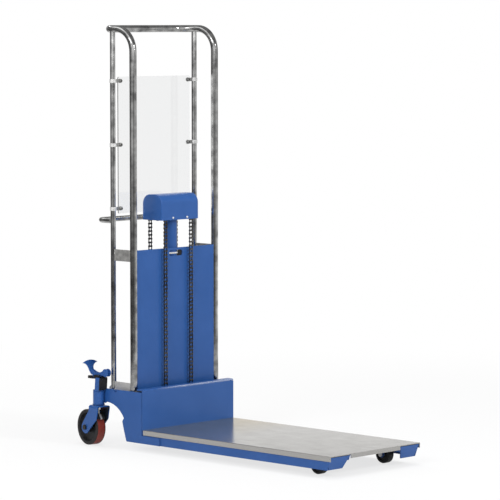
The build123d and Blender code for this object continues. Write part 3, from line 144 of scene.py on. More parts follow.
class NodeGraph:
    """Shader nodes of one material or of the surround."""

    def __init__(self, tree: NodeTree) -> None:
        """Take over a node tree and empty it."""
        self.tree = tree
        tree.nodes.clear()

    def add(self, kind: str, inputs: dict | None = None, **settings: str | int | bool) -> Node:
        """Add a node, set it up and join its inputs.

        Args:
            kind: Type of the node, without its prefix.
            inputs: Sockets to join or values to set, by the name or number of the input.
            settings: Properties of the node.

        Returns:
            The node.
        """
        node = self.tree.nodes.new("ShaderNode" + kind)
        for name, value in settings.items():
            setattr(node, name, value)
        for name, value in (inputs or {}).items():
            if isinstance(value, Socket):
                self.tree.links.new(value, node.inputs[name])
            else:
                node.inputs[name].default_value = value
        return node

    def place(self) -> Socket:
        """Object coordinates."""
        return self.add("TexCoord").outputs["Object"]

    def along(self, axis: str) -> Socket:
        """One of the object coordinates, X, Y or Z."""
        return self.add("SeparateXYZ", {"Vector": self.place()}).outputs[axis]

    def math(self, operation: str, *terms: Socket | float) -> Socket:
        """Result of an operation on patterns and numbers."""
        return self.add("Math", dict(enumerate(terms)), operation=operation).outputs["Value"]

    def remap(self, value: Socket, source: tuple, target: tuple = FULL_SPAN,
              shape: str = "LINEAR") -> Socket:
        """Pattern moved from the source span to the target span and held within it."""
        ends = dict(zip(("From Min", "From Max", "To Min", "To Max"), (*source, *target)))
        return self.add("MapRange", {"Value": value, **ends}, interpolation_type=shape).outputs["Result"]

    def ramp(self, value: Socket, stops: Sequence[tuple]) -> Socket:
        """Colour that passes through stops with a pattern.

        Args:
            value: Pattern from 0 to 1.
            stops: Pairs of a place on the pattern and a linear colour.

        Returns:
            Colour socket.
        """
        node = self.add("ValToRGB", {"Fac": value})
        marks = node.color_ramp.elements
        while len(marks) < len(stops):
            marks.new(0.5)
        for mark, (place, colour) in zip(marks, stops):
            mark.position = place
            mark.color = (*colour, 1.0)
        return node.outputs["Color"]

    def blend(self, share: Socket, colour: Socket, other: Socket | tuple) -> Socket:
        """Colour that goes over to another.

        Args:
            share: Share of the other colour, from 0 to 1.
            colour: Colour where the share is 0.
            other: Colour where the share is 1.

        Returns:
            Colour socket.
        """
        goal = (*other, 1.0) if isinstance(other, tuple) else other
        inputs = {"Factor": share, MIX_FROM: colour, MIX_TO: goal}
        return self.add("Mix", inputs, data_type="RGBA").outputs[MIX_RESULT]


class ShaderTree(NodeGraph):
    """Nodes of one material around a single Principled shader."""

    def __init__(self, name: str) -> None:
        """Start a material that has only its shader.

        Args:
            name: Name of the material.
        """
        self.material = bpy.data.materials.new(name)
        self.material.use_nodes = True
        super().__init__(self.material.node_tree)
        self.shader = self.add("BsdfPrincipled")
        self.add("OutputMaterial", {"Surface": self.shader.outputs["BSDF"]})

    def constant(self, **values: float | tuple) -> None:
        """Set shader sockets, named with underscores for spaces, that are the same all over."""
        for name, value in values.items():
            self.shader.inputs[name.replace("_", " ")].default_value = value

    def drive(self, socket: str, source: Socket) -> None:
        """Join a pattern to a socket of the shader."""
        self.tree.links.new(source, self.shader.inputs[socket])

    def noise(self, scale: float, detail: float = 4.0, grain: Grain = Grain.EVEN) -> Socket:
        """Cloudy pattern from 0 to 1, with a scale in marks per metre and finer layers."""
        stretched = self.add("Mapping", {"Vector": self.place(), "Scale": grain.value}).outputs["Vector"]
        return self.add("TexNoise", {"Vector": stretched, "Scale": scale, "Detail": detail}).outputs["Fac"]

    def span(self, value: Socket, low: float, high: float) -> Socket:
        """Cloudy pattern stretched to lie between two numbers."""
        return self.remap(value, CLOUD_SPAN, (low, high))

    def tones(self, value: Socket, dark: tuple, bright: tuple) -> Socket:
        """Colour that goes from one tone to another with a pattern."""
        return self.ramp(value, tuple(zip(CLOUD_SPAN, (dark, bright))))

    def normal(self) -> Socket:
        """Normal of the surface."""
        return self.add("NewGeometry").outputs["Normal"]

    def soften_edges(self, radius: float) -> Socket:
        """Normal that rounds sharp edges by a radius in metres."""
        return self.add("Bevel", {"Radius": radius}, samples=4).outputs["Normal"]

    def edges(self, radius: float) -> Socket:
        """Mask of the sharp edges.

        Args:
            radius: Reach of the mask from an edge in metres.

        Returns:
            Value socket, 1 on the edges.
        """
        inputs = {0: self.soften_edges(radius), 1: self.normal()}
        turn = self.add("VectorMath", inputs, operation="DOT_PRODUCT").outputs["Value"]
        return self.remap(turn, EDGE_TURN)

    def upright(self) -> Socket:
        """Mask of the upright faces, 0 on those that face up."""
        parts = self.add("SeparateXYZ", {"Vector": self.normal()})
        return self.remap(parts.outputs["Z"], LEVEL_TURN)

    def within(self, centre: tuple, yaw: float, half: float, top: float) -> Socket:
        """Mask of what lies between two upright planes and under a third, level one.

        Args:
            centre: Point midway between the planes, on the floor.
            yaw: Turn of the planes about the upright axis.
            half: Distance from the middle to each plane.
            top: Height of the level plane.

        Returns:
            Value socket, 1 inside.
        """
        inputs = {"Vector": self.place(), "Location": centre, "Rotation": (0.0, 0.0, yaw)}
        local = self.add("Mapping", inputs, vector_type="TEXTURE").outputs["Vector"]
        parts = self.add("SeparateXYZ", {"Vector": local}).outputs
        tests = []
        for axis, limit in (("X", half), ("Z", top)):
            tests.append(self.math("LESS_THAN", self.math("ABSOLUTE", parts[axis]), limit))
        return self.math("MULTIPLY", *tests)

    def bump(self, height: Socket, depth: float, edge_radius: float) -> Socket:
        """Normal with the relief of a pattern and rounded edges, both measures in metres."""
        inputs = {"Height": height, "Strength": 1.0, "Distance": depth,
                  "Normal": self.soften_edges(edge_radius)}
        return self.add("Bump", inputs).outputs["Normal"]


@dataclass(frozen=True)
class PaintFinish:
    """Baked blue gloss paint with slight clouding and an orange-peel skin."""

    name: str
    dark: tuple = (0.020, 0.092, 0.318)
    bright: tuple = (0.026, 0.103, 0.345)
    clouds: float = 9.0
    roughness: tuple = (0.30, 0.42)
    sheen_marks: float = 55.0
    gloss: float = 0.30
    coat: float = 0.30
    coat_roughness: float = 0.08
    peel_marks: float = 420.0
    peel_depth: float = 0.00002
    edge_radius: float = 0.0012
    # A painted highlight along sharp edges, kept within edge_spans
    edge_highlight_tone: tuple | None = None
    edge_reach: float = 0.01
    edge_spans: tuple = ()
    # A zone painted in inside_tone; on the forks it is painted shade on the inner faces and under the crown
    inside: tuple | None = None
    inside_tone: tuple = (0.011, 0.016, 0.027)

    def make(self) -> Material:
        """Build the material.

        Returns:
            The material.
        """
        tree = ShaderTree(self.name)
        colour = tree.tones(tree.noise(self.clouds), self.dark, self.bright)
        # Painted highlight: the mask named worn is a near-white line along the edges in the given spans, for
        # the light that glints off the apron's top edge
        if self.edge_highlight_tone is not None:
            worn = tree.edges(self.edge_reach)
            for axis, start, end in self.edge_spans:
                worn = tree.math("MULTIPLY", worn, tree.remap(tree.along(axis), (start, end)))
            colour = tree.blend(worn, colour, self.edge_highlight_tone)
        # Painted shade: inside the zone the paint turns to the dark inside_tone
        if self.inside is not None:
            colour = tree.blend(tree.within(*self.inside), colour, self.inside_tone)
        tree.drive("Base Color", colour)
        tree.drive("Roughness", tree.span(tree.noise(self.sheen_marks), *self.roughness))
        skin = tree.noise(self.peel_marks, COARSE_LAYERS)
        tree.drive("Normal", tree.bump(skin, self.peel_depth, self.edge_radius))
        tree.constant(Specular_IOR_Level=self.gloss, Coat_Weight=self.coat,
                      Coat_Roughness=self.coat_roughness)
        return tree.material


@dataclass(frozen=True)
class MetalFinish:
    """Bare or plated metal with drawn or brushed marks."""

    name: str
    dark: tuple
    bright: tuple
    roughness: tuple
    grain: Grain = Grain.EVEN
    marks: float = 160.0
    depth: float = 0.00001
    edge_radius: float = 0.0005
    metallic: float = 1.0
    clouds: float = 14.0
    inside: tuple | None = None
    inside_tone: tuple = (0.30, 0.30, 0.295)
    painted_side_light: tuple | None = None
    front_reflection_tint: tuple = (1.0, 1.0, 1.0)
    rear_reflection_tint: tuple | None = None
    rear_span: tuple = FULL_SPAN

    def make(self) -> Material:
        """Build the material.

        Returns:
            The material.
        """
        tree = ShaderTree(self.name)
        streaks = tree.noise(self.marks, FINE_LAYERS, self.grain)
        colour = tree.tones(tree.noise(self.clouds), self.dark, self.bright)
        # A zone in inside_tone: on the gussets the lighter low bars are a painted reflection of the floor,
        # on the clamps grey tabs set off the near-white rings, on the brake shoes a near-white stripe runs
        # down the middle
        if self.inside is not None:
            colour = tree.blend(tree.within(*self.inside), colour, self.inside_tone)
        # Painted light: faces that stand upright, such as the deck's lip, get a lighter base than faces that
        # look up
        if self.painted_side_light is not None:
            colour = tree.blend(tree.upright(), colour, self.painted_side_light)
        tree.drive("Base Color", colour)
        # Painted reflection tint: reflections turn warmer towards the rear, so the blue apron mirrored in
        # the deck looks greyer
        if self.rear_reflection_tint is not None:
            way_back = tree.remap(tree.along("Y"), self.rear_span)
            tree.drive("Specular Tint", tree.tones(way_back, self.front_reflection_tint, self.rear_reflection_tint))
        tree.drive("Roughness", tree.span(streaks, *self.roughness))
        tree.drive("Normal", tree.bump(streaks, self.depth, self.edge_radius))
        tree.constant(Metallic=self.metallic)
        return tree.material


@dataclass(frozen=True)
class PolymerFinish:
    """Moulded polymer or cast skin with a fine grain."""

    name: str
    dark: tuple
    bright: tuple
    roughness: tuple
    grain_scale: float = 900.0
    depth: float = 0.00006
    scuff_scale: float = 30.0
    edge_radius: float = 0.0008
    gloss: float = 0.5
    face: tuple | None = None
    rim_tone: tuple = (0.022, 0.014, 0.013)

    def make(self) -> Material:
        """Build the material.

        Returns:
            The material.
        """
        tree = ShaderTree(self.name)
        scuffs = tree.noise(self.scuff_scale, FINE_LAYERS)
        colour = tree.tones(scuffs, self.dark, self.bright)
        if self.face is not None:
            beyond = tree.math("SUBTRACT", 1.0, tree.within(*self.face))
            colour = tree.blend(beyond, colour, self.rim_tone)
        tree.drive("Base Color", colour)
        tree.drive("Roughness", tree.span(scuffs, *self.roughness))
        pores = tree.noise(self.grain_scale, COARSE_LAYERS)
        tree.drive("Normal", tree.bump(pores, self.depth, self.edge_radius))
        tree.constant(Specular_IOR_Level=self.gloss)
        return tree.material


@dataclass(frozen=True)
class ClearFinish:
    """Clear acrylic sheet with a faint grey body and light handling marks."""

    name: str
    tint: tuple
    roughness: tuple
    marks: float = 40.0
    gloss: float = 0.06
    index: float = 1.49

    def make(self) -> Material:
        """Build the material.

        Returns:
            The material.
        """
        tree = ShaderTree(self.name)
        tree.constant(Base_Color=(*self.tint, 1.0), IOR=self.index, Transmission_Weight=1.0,
                      Specular_IOR_Level=self.gloss)
        tree.drive("Roughness", tree.span(tree.noise(self.marks, FINE_LAYERS), *self.roughness))
        return tree.material


# Near-white, part-metallic zinc, brighter than plating: a painted highlight so small zinc parts show as
# glints
ZINC_PAINTED_GLINT = ((0.78, 0.78, 0.77), (0.92, 0.92, 0.91), (0.30, 0.45))
DARK_SHOE = ((0.020, 0.020, 0.021), (0.048, 0.048, 0.050), (0.30, 0.45))
ROD_TONE = (0.90, 0.90, 0.89)
RED_TREAD = ((0.24, 0.030, 0.018), (0.30, 0.044, 0.026), (0.34, 0.48))
PART_METAL = 0.4


def caster_zone(sign: int, half: float, top: float) -> tuple:
    """Zone about the middle plane of the caster on one side, as arguments of ShaderTree.within."""
    return (sign * KINGPIN_X, KINGPIN_Y, 0.0), sign * CASTER_YAW, half, top


def caster_finishes(side: str, sign: int) -> tuple:
    """Finishes of one caster that change across its width, with painted shade inside the fork.

    Args:
        side: Name of the side.
        sign: Side of the lift, -1 for the left and 1 for the right.

    Returns:
        Finishes of the fork, the brake shoe with its rod, and the tread.
    """
    # The fork paint darkens between the legs and under the crown as painted shade
    return (PaintFinish(side + "_fork_paint", inside=caster_zone(sign, FORK_INSIDE, FORK_CROWN)),
            # The brake shoe is dark with a near-white stripe painted down its middle plane, a painted
            # highlight along the rod's line
            MetalFinish(side + "_shoe", *DARK_SHOE, metallic=PART_METAL, inside_tone=ROD_TONE,
                        inside=caster_zone(sign, ROD_HALF, FORK_CROWN)),
            PolymerFinish(side + "_tread", *RED_TREAD, face=caster_zone(sign, TREAD_FACE, NO_LIMIT)))


def all_finishes() -> list:
    """List every finish of the lift.

    Returns:
        The finishes.
    """
    finishes = [
        PaintFinish("blue_paint"),
        # pressed_paint carries a painted highlight, a near-white line along part of the apron's top front
        # edge
        PaintFinish("pressed_paint", edge_highlight_tone=(0.85, 0.87, 0.90),
                    edge_spans=(("Z", 245 * MM, 246 * MM), ("X", -190 * MM, -40 * MM),
                                ("Y", APRON_FRONT + 12 * MM, APRON_FRONT + 8 * MM))),
        MetalFinish("chromed_tube", (0.27, 0.27, 0.27), (0.80, 0.80, 0.79), (0.06, 0.17),
                    Grain.ALONG_Z, 240.0, clouds=26.0),
        # The rear tubes wear a lighter copy of the chrome, painted light for the brighter surround they
        # reflect
        MetalFinish("chrome_painted_lighter", (0.24, 0.24, 0.24), (1.0, 1.0, 0.99), (0.08, 0.20),
                    Grain.ALONG_Z, 240.0, clouds=20.0),
        MetalFinish("polished_rod", (0.68, 0.68, 0.68), (0.75, 0.75, 0.75), (0.06, 0.12),
                    Grain.ALONG_Z, 300.0),
        MetalFinish("zinc", (0.50, 0.50, 0.49), (0.68, 0.68, 0.66), (0.24, 0.40)),
        MetalFinish("dull_zinc", (0.18, 0.18, 0.18), (0.34, 0.34, 0.33), (0.40, 0.55)),
        # zinc_painted_glint is painted bright to stand for glints on the cylinder clamp and hood screws
        MetalFinish("zinc_painted_glint", *ZINC_PAINTED_GLINT, metallic=PART_METAL),
        # clamp_zinc: near-white rings as a painted highlight, grey tabs
        MetalFinish("clamp_zinc", *ZINC_PAINTED_GLINT, metallic=PART_METAL,
                    inside=(ORIGIN, 0.0, CLAMP_TABS, NO_LIMIT)),
        # The gussets' low bars get a lighter tone, a painted reflection of the pale floor below them
        MetalFinish("grey_zinc_painted_lit_low", (0.19, 0.187, 0.182), (0.40, 0.395, 0.385), (0.45, 0.60), metallic=0.3,
                    clouds=45.0, inside=(ORIGIN, 0.0, NO_LIMIT, LOW_BARS_TOP),
                    inside_tone=(0.58, 0.57, 0.555)),
        MetalFinish("chain_steel", (0.066, 0.062, 0.058), (0.23, 0.22, 0.205), (0.26, 0.42)),
        # deck_steel: its upright lip is painted lighter than its top
        MetalFinish("deck_steel", (0.45, 0.435, 0.41), (0.53, 0.515, 0.49), (0.15, 0.25),
                    Grain.ALONG_Y, 420.0, metallic=0.85, painted_side_light=(0.57, 0.56, 0.54),
                    # Warm painted tint of the deck's reflections towards the apron
                    rear_reflection_tint=(0.96, 0.90, 0.79), rear_span=(-0.25, 0.40)),
        ClearFinish("guard_sheet", (0.895, 0.899, 0.901), (0.0, 0.03)),
        PolymerFinish("pump_casting", (0.020, 0.020, 0.022), (0.045, 0.045, 0.048), (0.35, 0.55),
                      260.0, 0.0004),
        PolymerFinish("black_polymer", (0.009, 0.009, 0.010), (0.026, 0.026, 0.028), (0.30, 0.48),
                      gloss=0.30),
    ]
    for side, sign in SIDES.items():
        finishes += caster_finishes(side, sign)
    return finishes


class Wardrobe:
    """Materials by name, made once and put on CAD nodes and new pieces."""

    def __init__(self) -> None:
        """Make every material."""
        self.materials = {finish.name: finish.make() for finish in all_finishes()}

    def dress_frame(self, frame: dict) -> None:
        """Put a material on every CAD node, its slot's own unless LOOKS names another.
        """
        for row in frame["record"]["subparts"]:
            look = LOOKS.get(row["node"], row["material_slot"])
            worn = frame["nodes"][row["node"]].data.materials
            worn.clear()
            worn.append(self.materials[look])
            LOG.info("dressed %s in %s", row["node"], look)


class Sculpt:
    """One bmesh that is shaped by operators and becomes a finished piece."""

    def __init__(self, mesh: BMesh | None = None) -> None:
        """Start with a mesh, or with nothing."""
        self.mesh = bmesh.new() if mesh is None else mesh

    def moved(self, verts: Iterable[BMVert], place: Matrix) -> None:
        """Put new vertices in place."""
        bmesh.ops.transform(self.mesh, matrix=place, verts=list(verts))

    def rounded(self, verts: list, edges: Iterable[BMEdge], width: float) -> list:
        """Round some edges of a new shape.

        Args:
            verts: Vertices of the shape.
            edges: Edges to round.
            width: Width of the rounding.

        Returns:
            The vertices that the shape then has.
        """
        made = bmesh.ops.bevel(self.mesh, geom=list(edges), offset=width, offset_type="OFFSET", segments=2,
                               profile=0.5, affect="EDGES", material=-1)
        return list({v for f in made["faces"] for v in f.verts} | {v for v in verts if v.is_valid})

    def drum(self, place: Matrix, radius: float, low: float, high: float, segments: int = 32,
             top: float | None = None, bevel: float = 0.0) -> None:
        """Closed cylinder or cone along the local Z axis.

        Args:
            place: Local frame.
            radius: Radius at the low end.
            low: Local height of the low end.
            high: Local height of the high end.
            segments: Number of sides.
            top: Radius at the high end, if it differs.
            bevel: Width of the rounding of both rims.
        """
        verts = bmesh.ops.create_cone(self.mesh, cap_ends=True, segments=segments, radius1=radius,
                                      radius2=radius if top is None else top, depth=high - low)["verts"]
        bmesh.ops.translate(self.mesh, verts=verts, vec=(0, 0, (low + high) / 2))
        if bevel > 0:
            edges = {e for v in verts for e in v.link_edges}
            rims = [e for e in edges if any(len(f.verts) > 4 for f in e.link_faces)]
            verts = self.rounded(verts, rims, bevel)
        self.moved(verts, place)

    def slab(self, place: Matrix, size: Sequence[float], bevel: float) -> None:
        """Box with rounded edges, centred on a local frame.

        Args:
            place: Local frame.
            size: Length along each local axis.
            bevel: Width of the edge rounding.
        """
        verts = bmesh.ops.create_cube(self.mesh, size=1.0)["verts"]
        bmesh.ops.scale(self.mesh, vec=size, verts=verts)
        verts = self.rounded(verts, {e for v in verts for e in v.link_edges}, bevel)
        self.moved(verts, place)

    def turned(self, place: Matrix, profile: Sequence[tuple], steps: int = 48) -> None:
        """Solid of revolution about the local Z axis.

        Args:
            place: Local frame.
            profile: Closed run of (radius, height) points.
            steps: Number of steps round the axis.
        """
        verts = [self.mesh.verts.new((radius, 0, height)) for radius, height in profile]
        edges = [self.mesh.edges.new(pair) for pair in zip(verts, verts[1:] + verts[:1])]
        before = set(self.mesh.verts) - set(verts)
        bmesh.ops.spin(self.mesh, geom=verts + edges, cent=(0, 0, 0), axis=UP, angle=math.tau,
                       steps=steps, use_merge=True)
        self.moved(set(self.mesh.verts) - before, place)

    def hexagon(self, place: Matrix, across: float, low: float, high: float) -> None:
        """Bolt head or nut with a turned top rim.

        Args:
            place: Local frame, Z out of the seat.
            across: Width across the flats.
            low: Local height of its foot.
            high: Local height of its top.
        """
        shoulder = high - 0.12 * across
        self.drum(place, across / math.sqrt(3), low, shoulder, segments=6)
        self.drum(place, across / 2 * 0.99, shoulder, high, segments=24, top=across / 2 * 0.9)

    def socket_screw(self, place: Matrix, radius: float, height: float) -> None:
        """Round screw head with a dished top and a hexagon socket.

        Args:
            place: Local frame, Z out of the seat.
            radius: Radius of the head.
            height: Height of the head.
        """
        bore = 0.5 * radius
        rim = 0.82 * radius
        head = [(bore, 0), (radius, 0), (radius, 0.55 * height), (rim, height), (bore, height)]
        self.turned(place, head, 24)
        self.drum(place, bore, 0, 0.35 * height, segments=6)

    def bead(self, path: Sequence[Vector], radius: float, closed: bool = False) -> None:
        """Weld bead of overlapping ripples along a path.

        Args:
            path: Points that the bead follows.
            radius: Mean radius of the bead.
            closed: True where the last point joins the first.
        """
        count = len(path)
        ripple = Matrix.Diagonal((1.0, 1.0, 1.5, 1.0))
        for index, point in enumerate(path):
            ahead = path[(index + 1) % count] if closed or index + 1 < count else point
            behind = path[index - 1] if closed or index else point
            lump = bmesh.ops.create_icosphere(self.mesh, subdivisions=1, radius=radius)["verts"]
            self.moved(lump, facing(point, ahead - behind) @ ripple)

    def finish(self, name: str, body: str, slot: str, wardrobe: Wardrobe,
               look: str | None = None) -> Object:
        """Turn the bmesh into a piece that rides on a body.

        Args:
            name: Name of the piece.
            body: CAD body that carries it.
            slot: Material slot.
            wardrobe: Materials.
            look: Finish that it wears, if not the slot's own.

        Returns:
            The piece.
        """
        bmesh.ops.remove_doubles(self.mesh, verts=self.mesh.verts, dist=MERGE_GAP)
        bmesh.ops.recalc_face_normals(self.mesh, faces=self.mesh.faces)
        for face in self.mesh.faces:
            face.smooth = True
        for edge in self.mesh.edges:
            edge.smooth = len(edge.link_faces) == 2 and edge.calc_face_angle(0.0) < SHARP_ANGLE
        piece = stand(name, self.mesh, wardrobe.materials[look or slot])
        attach(piece, body)
        LOG.info("made %s on %s", name, body)
        return piece


def stand(name: str, mesh: BMesh, material: Material) -> Object:
    """Object at the origin that takes over a bmesh.

    Args:
        name: Name of the object.
        mesh: Its shape, which is freed.
        material: What it is made of.

    Returns:
        The object.
    """
    data = bpy.data.meshes.new(name)
    data.materials.append(material)
    mesh.to_mesh(data)
    mesh.free()
    made = bpy.data.objects.new(name, data)
    bpy.context.scene.collection.objects.link(made)
    return made


def aimed(name: str, data: Camera | Light, place: tuple, target: tuple) -> Object:
    """Camera or lamp that looks at a point.

    Args:
        name: Name of the object.
        data: Its lens or its light.
        place: Where it stands.
        target: Point that it looks at.

    Returns:
        The object.
    """
    made = bpy.data.objects.new(name, data)
    made.location = place
    made.rotation_mode = "QUATERNION"
    made.rotation_quaternion = (Vector(target) - Vector(place)).to_track_quat("-Z", "Y")
    bpy.context.scene.collection.objects.link(made)
    return made


def facing(point: Sequence[float], direction: Sequence[float]) -> Matrix:
    """Local frame at a point, with its Z axis along a direction."""
    turn = Vector(direction).to_track_quat("Z", "Y").to_matrix().to_4x4()
    return Matrix.Translation(Vector(point)) @ turn


def ring_path(centre: Vector, radius: float, count: int, axis: Sequence[float] = UP) -> list[Vector]:
    """Points round a circle.

    Args:
        centre: Middle of the circle.
        radius: Its radius.
        count: Number of points.
        axis: Normal of the circle.

    Returns:
        The points in order.
    """
    place = facing(centre, axis)
    turns = [math.tau * k / count for k in range(count)]
    return [place @ Vector((radius * math.cos(t), radius * math.sin(t), 0)) for t in turns]


def line_path(start: Sequence[float], end: Sequence[float], step: float) -> list[Vector]:
    """Points along a straight line.

    Args:
        start: First point.
        end: Last point.
        step: Distance between points, about.

    Returns:
        The points in order.
    """
    a = Vector(start)
    b = Vector(end)
    count = max(2, round((b - a).length / step))
    return [a.lerp(b, k / (count - 1)) for k in range(count)]


def in_metres(profile: Sequence[tuple], radius: float = 0.0) -> list[tuple]:
    """Profile for turning, from pairs in millimetres of a distance out from a radius and a height."""
    return [(radius + out * MM, height * MM) for out, height in profile]


@dataclass
class Mast:
    """Welds of the mast and fasteners of its guard."""

    wardrobe: Wardrobe
    rear_radius: float = 11 * MM
    bead_radius: float = 2.2 * MM
    ring_beads: int = 30
    foot_gap: float = 0.6 * MM
    handle_depth: float = 0.72
    bar_half: float = 3 * MM
    low_band: tuple = (3 * MM, 31 * MM)
    high_band: tuple = (46 * MM, 2 * MM)
    line_radius: float = 1.5 * MM
    line_step: float = 2.6 * MM
    line_sink: float = 0.4 * MM
    tab_half: float = 7.5 * MM
    tab_thick: float = 2.5 * MM
    tab_inset: float = 40 * MM
    knob_radius: float = 6.8 * MM
    knob_height: float = 6.0 * MM
    front_washer: tuple = (8.2 * MM, 1.1 * MM)
    back_washer: tuple = (8.8 * MM, 1.2 * MM)
    washer_round: float = 0.3 * MM
    nut_across: float = 9 * MM
    nut_top: float = 5.6 * MM
    stud_radius: float = 2.5 * MM
    stud_span: tuple = (5.0 * MM, 8.0 * MM)
    stud_round: float = 0.4 * MM

    def __post_init__(self) -> None:
        """Read the places of the tubes from the frame."""
        low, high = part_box("rear_tubes")
        self.plane_y = (low.y + high.y) / 2
        self.tube_x = high.x - self.rear_radius
        self.foot_z = low.z

    def tube_welds(self) -> None:
        """Rings of weld at the feet of the rear tubes and at the ends of the push handle."""
        work = Sculpt()
        low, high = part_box("push_handle")
        handle_z = (low.z + high.z) / 2
        for x in (-self.tube_x, self.tube_x):
            foot = Vector((x, self.plane_y, self.foot_z))
            ring = ring_path(foot, self.rear_radius + self.foot_gap, self.ring_beads)
            work.bead(ring, self.bead_radius, closed=True)
            joint = Vector((x, self.plane_y + self.handle_depth * self.rear_radius, handle_z))
            ring = ring_path(joint, self.rear_radius, self.ring_beads, BACKWARD)
            work.bead(ring, self.bead_radius, closed=True)
        work.finish("tube_welds", "base", "chromed_tube", self.wardrobe)

    def gusset_welds(self) -> None:
        """Upright weld lines where the flat bars meet the tubes."""
        work = Sculpt()
        low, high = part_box("mast_gussets")
        bands = ((low.z + self.low_band[0], low.z + self.low_band[1]),
                 (high.z - self.high_band[0], high.z - self.high_band[1]))
        y = self.plane_y - self.rear_radius + self.line_sink
        for x in (-self.tube_x, self.tube_x):
            for edge_x in (x - self.bar_half, x + self.bar_half):
                for bottom, top in bands:
                    line = line_path((edge_x, y, bottom), (edge_x, y, top), self.line_step)
                    work.bead(line, self.line_radius)
        work.finish("gusset_welds", "base", "chromed_tube", self.wardrobe)

    def guard_screws(self) -> None:
        """Round knobs on the clamp tabs with washers and nuts behind the clear sheet."""
        work = Sculpt()
        low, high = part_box("guard_clamps")
        guard_low, guard_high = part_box("guard_panel")
        tab_front = guard_low.y - self.tab_thick
        tab_x = self.tube_x - self.tab_inset
        front_radius, front_thick = self.front_washer
        back_radius, back_thick = self.back_washer
        for z in (low.z + self.tab_half, (low.z + high.z) / 2, high.z - self.tab_half):
            for x in (-tab_x, tab_x):
                front = facing((x, tab_front, z), FORWARD)
                work.drum(front, front_radius, 0, front_thick, bevel=self.washer_round)
                seat = facing((x, tab_front - front_thick, z), FORWARD)
                work.socket_screw(seat, self.knob_radius, self.knob_height)
                back = facing((x, guard_high.y, z), BACKWARD)
                work.drum(back, back_radius, 0, back_thick, bevel=self.washer_round)
                work.hexagon(back, self.nut_across, back_thick, self.nut_top)
                work.drum(back, self.stud_radius, *self.stud_span, segments=20, bevel=self.stud_round)
        work.finish("guard_screws", "base", "zinc", self.wardrobe, look="dull_zinc")

    def build(self) -> None:
        """Make every piece of the mast."""
        self.tube_welds()
        self.gusset_welds()
        self.guard_screws()


